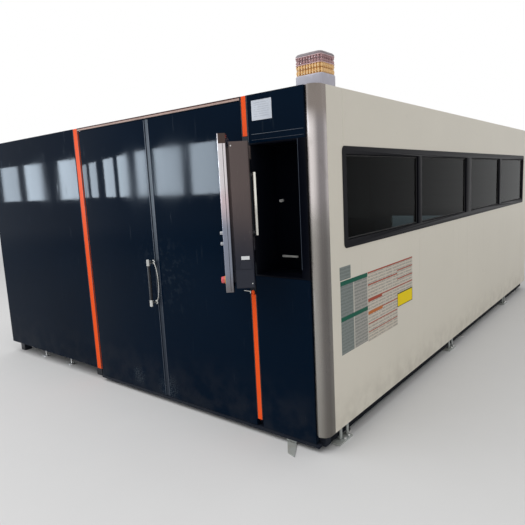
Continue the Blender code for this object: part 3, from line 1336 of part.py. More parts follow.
def add_console_hinge():
    """Fixed post between the two right strips, with the lower knuckles of both hinges."""
    start, end = STRIPE_RIGHT_START, STRIPE_RIGHT_START + STRIPE_RIGHT_WIDTH
    low, high = STRIPE_LOWER_TOP + FIT, STRIPE_UPPER_BOTTOM - FIT
    corner = (end, FRAME_FRONT - FIT, high)
    post = block("console_hinge", (start, HINGE_POST_SETBACK, low), corner, NICHE_BLACK)
    knuckles = bmesh.new()
    x, y = CONSOLE_PIVOT_X, CONSOLE_PIVOT_Y
    arm_start = end - KNUCKLE_TAB_LENGTH
    arm_end = end - KNUCKLE_TAB_THICKNESS
    for level in (KNUCKLE_LOWER, KNUCKLE_UPPER):
        high = level + KNUCKLE_HEIGHT
        place = Matrix.Translation((x, y, level + KNUCKLE_HEIGHT / 2))
        bmesh.ops.create_cone(knuckles, cap_ends=True, segments=PIN_SEGMENTS, radius1=KNUCKLE_RADIUS,
                              radius2=KNUCKLE_RADIUS, depth=KNUCKLE_HEIGHT, matrix=place)
        add_block(knuckles, (arm_start, y, level), (x, y + KNUCKLE_ARM, high))
        add_block(knuckles, (arm_start, y, level), (arm_end, KNUCKLE_ARM_ROOT, high))
    mesh = bpy.data.meshes.new("hinge_knuckles")
    knuckles.to_mesh(mesh)
    knuckles.free()
    combine(post, mesh, "UNION", True)


# Whole machine

def place_on_footprint():
    """Move the machine so that the origin is under the middle of its box."""
    bpy.context.view_layer.update()
    graph = bpy.context.evaluated_depsgraph_get()
    points = []
    for thing in scene.objects:
        if thing.type == "EMPTY" or thing.hide_render:
            continue
        shown = thing.evaluated_get(graph)
        points += [shown.matrix_world @ vertex.co for vertex in shown.to_mesh().vertices]
        shown.to_mesh_clear()
    low = Vector([min(point[axis] for point in points) for axis in range(3)])
    high = Vector([max(point[axis] for point in points) for axis in range(3)])
    machine.location = (-(low.x + high.x) / 2, -(low.y + high.y) / 2, -low.z)
    bpy.context.view_layer.update()


clear_scene()

machine = bpy.data.objects.new("machine", None)
scene.collection.objects.link(machine)
console_pivot = bpy.data.objects.new("console_pivot", None)
scene.collection.objects.link(console_pivot)
console_pivot.parent = machine
console_pivot.location = (CONSOLE_PIVOT_X, CONSOLE_PIVOT_Y, 0)
console_pivot.rotation_euler = (0, 0, -math.radians(CONSOLE_REST_ANGLE))

GLOSS_NAVY = material("gloss_navy", (0.010, 0.020, 0.038), 0.08)
NAVY_BODY = material("navy_body", (0.012, 0.020, 0.034), 0.35)
ORANGE = material("orange_trim", (0.80, 0.10, 0.025), 0.35)
CREAM = material("cream_paint", (0.66, 0.62, 0.54), 0.45)
STAINLESS = material("stainless", (0.55, 0.54, 0.52), 0.28, 1.0)
NICHE_BLACK = material("niche_black", (0.008, 0.009, 0.014), 0.5)
CONSOLE_GREY = material("console_grey", (0.075, 0.065, 0.068), 0.5)
BEZEL_STEEL = material("bezel_steel", (0.60, 0.60, 0.62), 0.3, 1.0)
SCREEN_BLACK = material("screen_black", (0.01, 0.012, 0.015), 0.08)
DARK_GREY = material("dark_grey", (0.05, 0.05, 0.055), 0.5)
CHROME = material("chrome", (0.75, 0.75, 0.74), 0.12, 1.0)
STOP_RED = material("stop_red", (0.62, 0.02, 0.03), 0.35)
START_GREEN = material("start_green", (0.03, 0.35, 0.10), 0.35)
WINDOW_GREY = material("window_grey", (0.032, 0.034, 0.042), 0.45)
GLASS = material("dark_glass", (0.012, 0.016, 0.018), 0.04)
FRAME_GREY = material("frame_dark", (0.03, 0.032, 0.04), 0.5)
BLACK = material("base_black", (0.012, 0.012, 0.013), 0.6)
ZINC = material("zinc", (0.48, 0.48, 0.47), 0.4, 1.0)
BED_PAINT = material("bed_paint", (0.30, 0.32, 0.33), 0.5)
BRIDGE_PAINT = material("bridge_paint", (0.55, 0.56, 0.56), 0.45)
ALUMINIUM = material("aluminium", (0.62, 0.62, 0.64), 0.35, 1.0)
BRASS = material("copper_nozzle", (0.70, 0.36, 0.20), 0.3, 1.0)
CHAIN_BLACK = material("chain_black", (0.02, 0.02, 0.021), 0.6)
PALLET_STEEL = material("pallet_steel", (0.22, 0.18, 0.15), 0.65, 0.6)
TRAY_STEEL = material("tray_steel", (0.20, 0.20, 0.20), 0.6, 0.7)
LIGHT_GREY = material("light_grey", (0.50, 0.50, 0.49), 0.5)
LAMP_GREY = material("lamp_grey", (0.42, 0.40, 0.36), 0.55)
AMBER = material("amber_lens", (0.80, 0.30, 0.05), 0.25)
PALE_RED = material("pale_red_lens", (0.62, 0.30, 0.26), 0.25)

add_base_frame()
add_feet()
add_machine_bed()
add_bridge()
add_head_carriage()
add_height_slide()
add_cutting_head()
add_energy_chain()
add_pallet()
add_scrap_tray()
add_corner_pillar()
add_front_frame()
add_front_door()
add_door_pivots()
add_door_handle()
add_fixed_front_panel()
add_stripes()
add_corner_bay()
add_niche()
add_side_covers()
add_window_frame()
add_window_panes()
add_roof()
add_left_wall()
add_rear_wall()
add_rear_shutter()
add_block_shell()
add_block_cover()
add_service_door()
add_service_latch()
add_laser_source()
add_signal_lamp()
add_console_hinge()
add_console_housing()
add_console_bezel()
add_console_inlays()
add_console_buttons()
add_console_grip()
place_on_footprint()
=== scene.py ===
"""Finishes and fine detail for the laser cutting machine, laid out as a Blender add-on."""
import json
import math

import bmesh
import bpy
from mathutils import Matrix, Vector


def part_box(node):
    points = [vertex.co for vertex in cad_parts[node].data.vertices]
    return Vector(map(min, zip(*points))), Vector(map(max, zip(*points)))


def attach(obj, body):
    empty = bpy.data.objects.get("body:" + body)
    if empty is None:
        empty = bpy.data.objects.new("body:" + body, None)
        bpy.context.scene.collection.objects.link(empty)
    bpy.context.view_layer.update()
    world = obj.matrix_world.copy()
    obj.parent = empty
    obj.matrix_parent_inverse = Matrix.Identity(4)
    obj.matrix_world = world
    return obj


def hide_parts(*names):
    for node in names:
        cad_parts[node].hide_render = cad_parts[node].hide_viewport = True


bl_info = {
    "name": "Laser cutting machine finishes",
    "version": (1, 0, 0),
    "blender": (4, 5, 0),
    "location": "View3D > Sidebar > Laser cutter",
    "description": "Puts finishes and fine detail on the laser cutting machine",
    "category": "Object",
}

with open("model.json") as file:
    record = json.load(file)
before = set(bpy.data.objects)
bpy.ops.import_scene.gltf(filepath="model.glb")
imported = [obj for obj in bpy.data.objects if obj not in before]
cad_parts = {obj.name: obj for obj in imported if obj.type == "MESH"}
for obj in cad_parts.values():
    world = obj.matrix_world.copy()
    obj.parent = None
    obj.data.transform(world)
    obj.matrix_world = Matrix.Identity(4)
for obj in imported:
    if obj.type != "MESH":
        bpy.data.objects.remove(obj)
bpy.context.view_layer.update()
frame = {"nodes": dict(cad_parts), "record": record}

# The cabin's front right corner: its white side lies on SIDE and its front on FRONT
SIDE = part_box("side_cover_front")[1].x
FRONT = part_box("fixed_front_panel")[0].y

# The swung console: hinge from the corner, angle, its bezel's face and its outer end
CONSOLE_PIVOT = (-0.484, -0.017)
CONSOLE_ANGLE = math.radians(51)
CONSOLE_FACE = -0.166
CONSOLE_END = 0.360
BEZEL_FOOT, BEZEL_SHOULDER, BEZEL_TOP = 1.076, 1.893, 1.945

STRIPS = ("stripe_left", "stripe_right_lower", "stripe_right_upper")
UP, FORWARD, REARWARD = (0, 0, 1), (0, -1, 0), (0, 1, 0)
QUARTER = math.radians(90)
WHITE = (1, 1, 1, 1)
ROUND = 32
# How far a thin piece stands off the face under it
HAIR = 0.0001


def at(x, y, z):
    """A point given from the cabin's front right corner at floor level."""
    return Vector((SIDE + x, FRONT + y, z))


def console_way(across, out):
    """A way along the swung console: across its width, out towards its back."""
    return Matrix.Rotation(-CONSOLE_ANGLE, 3, "Z") @ Vector((across, out, 0))


def on_console(across, out, level):
    """A point on the swung console."""
    return at(*CONSOLE_PIVOT, level) + console_way(across, out)


def tone(red, green, blue):
    """A colour as seen on screen, 0 to 255, in the linear values that shaders take."""
    return tuple(((part / 255 + 0.055) / 1.055) ** 2.4 if part > 10 else part / 255 / 12.92
                 for part in (red, green, blue))


def shade(color, factor):
    """A lighter or darker version of a colour."""
    return tuple(min(part * factor, 1.0) for part in color)


# Settings

def colour(label, note, value):
    return bpy.props.FloatVectorProperty(name=label, description=note, default=tone(*value),
                                         subtype="COLOR", size=3, min=0, max=1)


def length(label, note, value):
    return bpy.props.FloatProperty(name=label, description=note, default=value, min=0,
                                   unit="LENGTH", precision=4)


def share(label, note, value):
    return bpy.props.FloatProperty(name=label, description=note, default=value, min=0, max=1,
                                   subtype="FACTOR")


def count(label, note, value):
    return bpy.props.IntProperty(name=label, description=note, default=value, min=0)


def strength(label, note, value):
    return bpy.props.FloatProperty(name=label, description=note, default=value, min=0)


class FrontSettings(bpy.types.PropertyGroup):
    navy: colour("Navy", "Gloss lacquer of the front panels", (4, 20, 37))
    gloss: share("Gloss", "How strongly the lacquer mirrors its surroundings", 0.025)
    orange: colour("Orange", "Paint of the vertical strips", (252, 92, 38))
    trim_width: length("Leaf trim width", "Width of the trims on the two leaf edges", 0.006)
    trim_proud: length("Leaf trim height", "How far the trims stand proud of the leaves", 0.0015)
    trim_paint: colour("Leaf trim", "Paint of the leaf trims", (70, 78, 90))
    head_trim: colour("Head trim", "Strip along the top of the front", (186, 160, 150))
    head_stain: colour("Head stain", "Stained upper edge of that strip", (74, 44, 38))
    profile: colour("Leaf profile", "Grey profile behind the gap between the leaves", (38, 46, 58))
    seal: length("Strip seal", "Width of the black seal along each side of an orange strip", 0.007)
    edge: length("Edge chamfer", "Chamfer on the edges of the front panels", 0.0015)


class SideSettings(bpy.types.PropertyGroup):
    cream: colour("Cream", "Paint of the white covers", (226, 220, 206))
    window: colour("Window frame", "Paint of the window frame", (17, 17, 23))
    gasket: length("Gasket width", "Width of the rubber round each pane", 0.012)
    glass: colour("Glass", "Tint of the laser glass", (52, 64, 68))
    edge: length("Edge chamfer", "Chamfer on the edges of the covers", 0.0035)
    grime: share("Grime", "Dust on the lower edge of the covers", 0.30)


class ConsoleSettings(bpy.types.PropertyGroup):
    housing: colour("Housing", "Paint of the console housing", (92, 80, 78))
    foot: colour("Foot", "Paint of the console's lower end", (26, 30, 44))
    bezel: colour("Bezel", "Metal of the bezel", (226, 220, 222))
    key_columns: count("Key columns", "Keys across the keypad", 8)
    key_rows: count("Key rows", "Keys down the keypad", 6)
    key_size: length("Key size", "Width of one key", 0.024)


class LampSettings(bpy.types.PropertyGroup):
    amber: colour("Amber", "Lower lens of the signal lamp", (255, 164, 24))
    rose: colour("Rose", "Upper lens of the signal lamp", (222, 176, 178))
    body: colour("Body", "Base of the signal lamp", (186, 184, 196))
    cap: colour("Cap", "Cap of the signal lamp", (134, 124, 128))
    flutes: count("Flutes", "Lens beads in each row round a tier", 32)
    flute_radius: length("Flute radius", "Radius of one bead", 0.0085)


class InsideSettings(bpy.types.PropertyGroup):
    bed: colour("Bed", "Paint of the machine bed", (146, 151, 153))
    bridge: colour("Bridge", "Paint of the bridge and carriage", (205, 206, 204))
    link_pitch: length("Chain pitch", "Length of one energy chain link", 0.055)
    plug_pitch: length("Plug pitch", "Distance between the plugs on the guide rails", 0.120)
    slag_density: count("Slag", "Slag beads for each square metre of slat edge", 1500)
    slag_seed: count("Slag seed", "Seed of the slag beads", 7)


class BaseSettings(bpy.types.PropertyGroup):
    black: colour("Base", "Paint of the base frame", (17, 20, 28))
    zinc: colour("Zinc", "Plating of feet and bolts", (186, 186, 184))
    anchor: colour("Anchor", "Grey paint of the floor anchors", (172, 178, 176))
    roof: colour("Roof", "Paint of the roof, the shutter and the laser source", (186, 186, 184))


class StageSettings(bpy.types.PropertyGroup):
    floor: colour("Floor", "Colour of the plain floor", (226, 226, 226))
    ambient: strength("Ambient", "Strength of the soft light all round", 0.62)
    key: strength("Key", "Radiance of the large overhead soft box", 1.6)
    boxes: strength("Soft boxes", "Radiance of the brightest soft box in the row in front", 104.0)
    lens: bpy.props.FloatProperty(name="Lens", description="Focal length of the camera",
                                  default=34.565, unit="CAMERA")


class MachineSettings(bpy.types.PropertyGroup):
    front: bpy.props.PointerProperty(type=FrontSettings)
    side: bpy.props.PointerProperty(type=SideSettings)
    console: bpy.props.PointerProperty(type=ConsoleSettings)
    lamp: bpy.props.PointerProperty(type=LampSettings)
    inside: bpy.props.PointerProperty(type=InsideSettings)
    base: bpy.props.PointerProperty(type=BaseSettings)
    stage: bpy.props.PointerProperty(type=StageSettings)


def settings():
    return bpy.context.scene.laser_cutter


# Node expressions

def plug_in(tree, node, sockets):
    """Link or set a node's sockets."""
    for key, value in sockets.items():
        if isinstance(value, Signal):
            value = value.socket
        if isinstance(value, bpy.types.NodeSocket):
            tree.links.new(value, node.inputs[key])
        else:
            node.inputs[key].default_value = value


def maths(operation, swapped=False):
    """An operator that adds a Math node."""
    def operator(self, other):
        first, second = (other, self) if swapped else (self, other)
        return self.nodes.node("ShaderNodeMath", {"operation": operation}, {0: first, 1: second})
    return operator


class Signal:
    """A node's socket that takes Python's operators."""

    def __init__(self, nodes, socket):
        self.nodes = nodes
        self.socket = socket

    __add__ = __radd__ = maths("ADD")
    __sub__, __rsub__ = maths("SUBTRACT"), maths("SUBTRACT", True)
    __mul__ = __rmul__ = maths("MULTIPLY")
    __truediv__, __rtruediv__ = maths("DIVIDE"), maths("DIVIDE", True)
    __mod__ = maths("FLOORED_MODULO")
    __gt__, __lt__ = maths("GREATER_THAN"), maths("LESS_THAN")
    __or__ = maths("MAXIMUM")


def any_of(first, *others):
    """The greatest of several signals."""
    for other in others:
        first = first | other
    return first


class Nodes:
    """A node tree that expressions add to."""

    def __init__(self, tree):
        self.tree = tree

    def node(self, kind, choices=None, sockets=None, output=0):
        """Add any node: its choices first, then its sockets; returns one output."""
        made = self.tree.nodes.new(kind)
        for key, value in (choices or {}).items():
            setattr(made, key, value)
        plug_in(self.tree, made, sockets or {})
        return Signal(self, made.outputs[output])


class Finish(Nodes):
    """A Principled material whose varying inputs are written as expressions."""

    def __init__(self, name, color, roughness, metallic=0.0, **constants):
        self.material = bpy.data.materials.new(name)
        self.material.use_nodes = True
        super().__init__(self.material.node_tree)
        self.shader = self.tree.nodes["Principled BSDF"]
        self.paint(Base_Color=(*color, 1), Roughness=roughness, Metallic=metallic, **constants)
        self.point = self.node("ShaderNodeTexCoord", output="Object")
        parts = self.tree.nodes.new("ShaderNodeSeparateXYZ")
        plug_in(self.tree, parts, {0: self.point})
        self.x, self.y, self.z = (Signal(self, part) for part in parts.outputs)

    def noise(self, scale, detail=3.0, stretch=(1, 1, 1)):
        """Soft noise over the piece, 0 to 1, stretched along an axis by a small factor."""
        place = self.node("ShaderNodeMapping", {}, {"Vector": self.point, "Scale": stretch})
        return self.node("ShaderNodeTexNoise", {}, {"Vector": place, "Scale": scale, "Detail": detail})

    def cells(self, scale):
        """Distance to the nearest of many scattered points."""
        return self.node("ShaderNodeTexVoronoi", {}, {"Vector": self.point, "Scale": scale})

    def between(self, value, low, high):
        """A smooth step from 0 at low to 1 at high."""
        return self.node("ShaderNodeMapRange", {"interpolation_type": "SMOOTHSTEP"},
                         {"Value": value, "From Min": low, "From Max": high})

    def patches(self, low, high, *noise):
        """Soft patches where noise rises from a low to a high value."""
        return self.between(self.noise(*noise), low, high)

    def near(self, center, radius):
        """1 at a point, falling to 0 at a radius."""
        away = self.node("ShaderNodeVectorMath", {"operation": "DISTANCE"},
                         {0: self.point, 1: tuple(center)}, "Value")
        return 1 - self.between(away, 0.0, radius)

    def inside(self, value, low, high):
        """1 where the value lies between two limits."""
        return (value > low) * (value < high)

    def layers(self, color, *coats):
        """Coats of colour over a first one, each laid on where its mask is 1."""
        for mask, coat in coats:
            pair = [value if isinstance(value, Signal) else (*value[:3], 1) for value in (color, coat)]
            color = self.node("ShaderNodeMix", {"data_type": "RGBA"}, {0: mask, 6: pair[0], 7: pair[1]}, 2)
        return color

    def paint(self, *coats, **inputs):
        """Lay coats over a first colour, and link or set the shader's other sockets."""
        if coats:
            inputs["Base_Color"] = self.layers(*coats)
        plug_in(self.tree, self.shader, {key.replace("_", " "): value for key, value in inputs.items()})
        return self

    def relief(self, height, strength, distance):
        """Link a bump to the normal."""
        bump = self.node("ShaderNodeBump", {}, {"Height": height, "Strength": strength,
                                                "Distance": distance}, "Normal")
        return self.paint(Normal=bump)

    def floor_dust(self, amount, top):
        """Dust that thins out upward from the floor, in soft patches."""
        return (1 - self.between(self.z, 0.02, top)) * self.patches(0.30, 0.72, 9.0, 5.0) * amount


# Finishes

DUST = tone(150, 143, 132)


def lacquer_navy(name):
    """Gloss lacquer with a faint ripple, wiped streaks, hand marks and dust at its foot."""
    chosen = settings().front
    finish = Finish(name, chosen.navy, 0.05, Specular_IOR_Level=chosen.gloss)
    wiped = finish.patches(0.45, 0.80, 2.2, 6.0, (1, 1, 0.25))
    hands = finish.near(at(-1.40, -0.01, 1.02), 0.42) * finish.patches(0.50, 0.66, 26.0, 5.0)
    scuffs = finish.patches(0.69, 0.75, 60.0, 2.0, (1, 1, 0.06))
    knocked = finish.near(at(-1.44, 0, 0.13), 0.16) | finish.near(at(-1.80, 0, 0.16), 0.10)
    chips = finish.patches(0.56, 0.62, 150.0, 3.0) * knocked
    dust = finish.floor_dust(0.30, 0.55)
    finish.paint(shade(chosen.navy, 0.72), (finish.noise(0.8, 2.0), shade(chosen.navy, 1.3)),
                 (hands * 0.04 + scuffs * 0.02 + chips * 0.55, tone(120, 134, 144)), (dust * 0.12, DUST),
                 Roughness=wiped * 0.06 + hands * 0.22 + scuffs * 0.15 + dust * 0.5 + chips * 0.5 + 0.035)
    return finish.relief(finish.noise(34.0, 2.0), 0.05, 0.0006)


def satin_paint(name, color, roughness, dust, dust_top=0.5, texture=0.12, specular=0.4):
    """Powder coat: fine orange peel, slightly uneven colour, and dust near the floor."""
    finish = Finish(name, color, roughness, Specular_IOR_Level=specular)
    marks = finish.patches(0.66, 0.80, 44.0, 4.0, (1, 1, 0.3))
    grime = finish.floor_dust(dust, dust_top)
    finish.paint(shade(color, 0.94), (finish.noise(3.0, 4.0), shade(color, 1.05)),
                 (marks * 0.10, shade(color, 0.72)), (grime, DUST),
                 Roughness=finish.noise(120.0, 2.0) * 0.10 + grime * 0.3 + (roughness - 0.05))
    return finish.relief(finish.noise(700.0, 2.0), texture, 0.0004)


def head_trim(name):
    """Pale strip under the roof edge, stained brown along its upper half."""
    chosen = settings().front
    finish = Finish(name, chosen.head_trim, 0.45, Specular_IOR_Level=0.03)
    upper = finish.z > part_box("front_frame")[1].z - 0.009
    worn = finish.patches(0.45, 0.70, 7.0, 4.0) * 0.6
    finish.paint(chosen.head_trim, (worn, shade(chosen.head_trim, 0.62)), (upper, chosen.head_stain))
    return finish.relief(finish.noise(300.0, 2.0), 0.05, 0.0003)


def paint_cream(name):
    """Textured cream paint: rain of fine marks, a grey lower edge and faint runs under the windows."""
    chosen = settings().side
    sill = 1.24
    finish = Finish(name, chosen.cream, 0.46, Specular_IOR_Level=0.35)
    runs = finish.patches(0.60, 0.78, 30.0, 3.0, (1, 1, 0.05))
    below = finish.between(finish.z, 0.55, sill) * (1 - finish.between(finish.z, sill, sill + 0.02))
    handled = finish.patches(0.62, 0.80, 12.0, 6.0)
    grime = any_of(finish.floor_dust(chosen.grime, 0.42), runs * below * 0.10, handled * 0.05)
    finish.paint(shade(chosen.cream, 0.95), (finish.noise(1.6, 4.0), shade(chosen.cream, 1.03)),
                 (grime, tone(132, 122, 106)),
                 Roughness=finish.noise(90.0, 2.0) * 0.12 + grime * 0.2 + 0.38)
    return finish.relief(finish.cells(520.0), 0.10, 0.0005)


def turned_aluminium(name):
    """Aluminium with fine turning lines, cloudy soiling and hand marks."""
    color = tone(206, 206, 210)
    finish = Finish(name, color, 0.28, 1.0)
    lines = finish.noise(90.0, 3.0, (1, 1, 8))
    cloud = finish.patches(0.42, 0.78, 5.0, 5.0)
    finish.paint(shade(color, 0.80), (lines, shade(color, 1.18)), (cloud * 0.1, shade(color, 0.62)),
                 Roughness=lines * 0.16 + cloud * 0.12 + 0.20)
    return finish.relief(lines, 0.10, 0.0003)


def steel_pillar(name):
    """Brushed stainless: grain up the post, painted reflections in broad soft bands up the post and round
    its corner, dull low down.
    """
    finish = Finish(name, tone(176, 172, 168), 0.3, 1.0)
    lines = finish.noise(520.0, 3.0, (1, 1, 0.004))
    turned = finish.x + finish.y - (SIDE + FRONT)
    # Painted highlight: the side of the rounded corner turned to the light is coloured brighter, fully and
    # in a fainter second band.
    painted_highlight = (1 - finish.between(turned, -0.050, 0.020)) | (finish.between(turned, 0.055, 0.095) * 0.4)
    level = finish.z + finish.noise(2.4, 3.0, (0.5, 0.5, 1)) * 0.30
    rubbed = finish.patches(0.52, 0.74, 16.0, 6.0, (1, 1, 0.5))
    foot = 1 - finish.between(finish.z, 0.10, 0.60)
    # Painted reflections by height: a bright, faintly pink band in the middle, darker grey below it and a
    # brownish tint at the top.
    middle = finish.layers(tone(132, 126, 128), (painted_highlight, tone(240, 232, 230)))
    finish.paint(tone(112, 108, 106), (painted_highlight, tone(166, 162, 156)),
                 (finish.between(level, 1.42, 1.80), middle),
                 (finish.between(level, 2.12, 2.24), tone(132, 122, 116)),
                 (lines * 0.45, shade(tone(150, 146, 142), 0.74)),
                 (rubbed * 0.14 + foot * 0.22, tone(112, 108, 96)),
                 Roughness=lines * 0.14 + rubbed * 0.10 + foot * 0.14 + 0.20)
    return finish.relief(lines, 0.09, 0.0003)


def housing_paint(name):
    """Brown-grey console paint that goes dark and bluish towards its lower end."""
    chosen = settings().console
    finish = Finish(name, chosen.housing, 0.40, Specular_IOR_Level=0.3)
    lower = 1 - finish.between(finish.z + finish.noise(5.0, 4.0) * 0.16, 1.26, 1.76)
    marks = finish.patches(0.62, 0.76, 50.0, 4.0, (1, 1, 0.2))
    finish.paint(chosen.housing, (lower, chosen.foot), (marks * 0.10, tone(150, 140, 136)),
                 Roughness=finish.noise(90.0, 2.0) * 0.14 + marks * 0.12 + 0.30)
    return finish.relief(finish.noise(620.0, 2.0), 0.10, 0.0004)


def bezel_metal(name):
    """Brushed bezel with painted reflections by height: bright above, faintly rose in the middle, blue-grey
    and duller below.
    """
    chosen = settings().console
    finish = Finish(name, chosen.bezel, 0.26, 1.0)
    lines = finish.noise(480.0, 3.0, (1, 1, 0.004))
    level = finish.z + finish.noise(6.0, 3.0) * 0.08
    # Painted reflections: these colour bands by height stand in for what the metal mirrors.
    rose = finish.layers(tone(214, 194, 198), (finish.between(level, 1.62, 1.74), chosen.bezel))
    blue = finish.layers(tone(140, 146, 162), (finish.between(level, 1.46, 1.62), rose))
    finish.paint(tone(116, 110, 110), (finish.between(level, 1.10, 1.26), blue),
                 (lines * 0.4, shade(tone(150, 150, 156), 0.8)), Roughness=lines * 0.16 + 0.18)
    return finish.relief(lines, 0.09, 0.0003)


def zinc(name):
    """Zinc plating with a dull bloom."""
    color = settings().base.zinc
    finish = Finish(name, color, 0.38, 1.0)
    bloom = finish.patches(0.35, 0.70, 40.0, 5.0)
    finish.paint(shade(color, 0.72), (bloom, color), Roughness=bloom * 0.2 + 0.26)
    return finish.relief(finish.noise(300.0, 2.0), 0.08, 0.0004)


def polished(name, color, roughness):
    """Bright metal with fine handling marks."""
    finish = Finish(name, color, roughness, 1.0)
    marks = finish.patches(0.55, 0.75, 70.0, 5.0)
    return finish.paint(color, (marks * 0.5, shade(color, 0.7)), Roughness=marks * 0.18 + roughness)


def moulded(name, color, roughness=0.5, specular=0.4):
    """Moulded plastic or rubber with a fine grain and rubbed patches."""
    finish = Finish(name, color, roughness, Specular_IOR_Level=specular)
    rubbed = finish.patches(0.50, 0.75, 20.0, 4.0)
    finish.paint(color, (rubbed, shade(color, 1.25)), Roughness=rubbed * -0.12 + (roughness + 0.04))
    return finish.relief(finish.cells(1400.0), 0.10, 0.0003)


def glass_sheet(name):
    """Dark laser glass with a few wiped smears."""
    finish = Finish(name, settings().side.glass, 0.02, Transmission_Weight=1.0, IOR=1.07)
    return finish.paint(Roughness=finish.patches(0.52, 0.80, 5.0, 6.0, (1, 0.4, 1)) * 0.05 + 0.01)


def screen_glass(name):
    """Dark screen with finger smears."""
    finish = Finish(name, tone(14, 17, 20), 0.06)
    smears = finish.patches(0.50, 0.76, 14.0, 6.0)
    return finish.paint(tone(12, 15, 18), (smears * 0.3, tone(34, 38, 42)), Roughness=smears * 0.16 + 0.05)


def lens_plastic(name, color):
    """Ribbed lens: clear tinted plastic, paler where it is scratched."""
    finish = Finish(name, color, 0.16, Transmission_Weight=0.35, IOR=1.49)
    haze = finish.patches(0.40, 0.75, 60.0, 5.0)
    return finish.paint(shade(color, 0.9), (haze * 0.4, shade(color, 1.3)), Roughness=haze * 0.15 + 0.12)


def lens_core(name, color, darker):
    """Painted shade: a dark core in the lens colour, darkened, that stands in for the shaded inside of a
    lens.
    """
    return moulded(name, shade(color, darker), 0.3)


def cut_slats(name):
    """Steel slats: scaled and brown below, burnt dark with a bluish tint along the teeth."""
    finish = Finish(name, tone(126, 118, 110), 0.6, 0.7)
    burnt = finish.between(finish.z, 0.770, 0.840) * finish.patches(0.25, 0.65, 30.0, 5.0)
    scale = finish.patches(0.40, 0.70, 18.0, 6.0)
    finish.paint(tone(126, 118, 110), (scale, tone(104, 78, 58)), (burnt, tone(52, 50, 58)),
                 Roughness=scale * 0.25 + burnt * 0.15 + 0.42, Metallic=0.75 - scale * 0.4)
    return finish.relief(finish.noise(160.0, 5.0), 0.35, 0.0012)


def worn_tray(name):
    """Grey steel tray with rust and scrape marks along it."""
    finish = Finish(name, tone(128, 128, 128), 0.5, 0.8)
    rust = finish.patches(0.52, 0.72, 7.0, 7.0)
    scrape = finish.patches(0.55, 0.70, 60.0, 3.0, (1, 0.05, 1))
    finish.paint(tone(128, 128, 128), (rust * 0.6, tone(104, 80, 62)), (scrape * 0.4, tone(176, 174, 170)),
                 Roughness=rust * 0.3 + 0.38, Metallic=0.8 - rust * 0.6)
    return finish.relief(finish.noise(120.0, 4.0), 0.3, 0.001)


def slag_beads(name):
    """Dark beads of slag with a few bright facets."""
    color = tone(58, 50, 46)
    finish = Finish(name, color, 0.7, 0.3)
    glint = finish.patches(0.5, 0.7, 500.0, 2.0)
    return finish.paint(color, (glint, tone(120, 96, 74)), Roughness=0.85 - glint * 0.35)


NOTICE_LOW, NOTICE_HIGH = (-0.461, 2.045), (-0.309, 2.162)


def paper_bars(name):
    """A pale sheet behind film with plain grey bars where a notice has its lines."""
    (left, bottom), (right, top) = NOTICE_LOW, NOTICE_HIGH
    finish = Finish(name, tone(196, 202, 212), 0.25)
    across = (finish.x - (SIDE + left)) / (right - left)
    up = (finish.z - bottom) / (top - bottom)
    bars = ((up * 9.0) % 1.0 > 0.55) * finish.inside(across, 0.12, 0.86) * finish.inside(up, 0.12, 0.90)
    ragged = bars * (finish.noise(70.0, 1.0, (1, 1, 4)) > 0.42)
    # Painted shade of creases: soft lighter and darker patches across the sheet.
    crease_shading = finish.noise(14.0, 3.0)
    return finish.paint(tone(186, 192, 204), (crease_shading, tone(206, 211, 219)),
                        (ragged * 0.28, tone(118, 124, 138)),
                        Roughness=finish.noise(30.0, 3.0) * 0.2 + 0.15)


def chart_fields(name):
    """A plain generic chart: grey bars in columns, teal and brick-red headings, one yellow field."""
    finish = Finish(name, tone(206, 200, 188), 0.32, Specular_IOR_Level=0.04)
    along, up = finish.y - FRONT, finish.z

    def bands(*spans):
        return any_of(*(finish.inside(up, *span) for span in spans))

    def columns(*spans):
        return any_of(*(finish.inside(along, *span) for span in spans))

    left, middle, right = along < 0.562, columns((0.568, 1.042)), along > 1.042
    bars = ((up * 46.0) % 1.0 > 0.42) * (finish.noise(44.0, 1.0, (1, 1, 5)) > 0.42)
    gaps = columns((0.364, 0.378), (0.556, 0.568)) | (((along * 8.4) % 1.0 < 0.10) * (along > 0.60))
    teal = bands((1.022, 1.052), (0.795, 0.822)) * left
    brick = any_of(
        bands((1.040, 1.060), (0.958, 0.967), (0.770, 0.778), (0.690, 0.697), (0.634, 0.640)) * middle,
        bands((1.040, 1.060), (0.980, 0.988), (0.915, 0.923)) * right,
        bands((0.860, 0.868)) * (along > 0.568), bands((0.845, 0.868)) * columns((0.568, 0.781)))
    listed = finish.layers(tone(168, 166, 160), (along < 0.371, tone(136, 143, 140)))
    return finish.paint(tone(212, 202, 188), (left, listed), (bars * 0.46, tone(98, 106, 104)),
                        (gaps * 0.8, tone(206, 201, 190)), (teal, tone(34, 98, 80)),
                        (brick, tone(172, 84, 66)),
                        (bands((0.757, 0.780)) * columns((0.568, 0.790)), tone(196, 116, 66)),
                        (bands((0.690, 0.810)) * right, tone(70, 72, 40)),
                        (bands((0.709, 0.801)) * columns((1.048, 1.321)), tone(248, 218, 10)),
                        Roughness=finish.noise(40.0, 3.0) * 0.15 + 0.24)


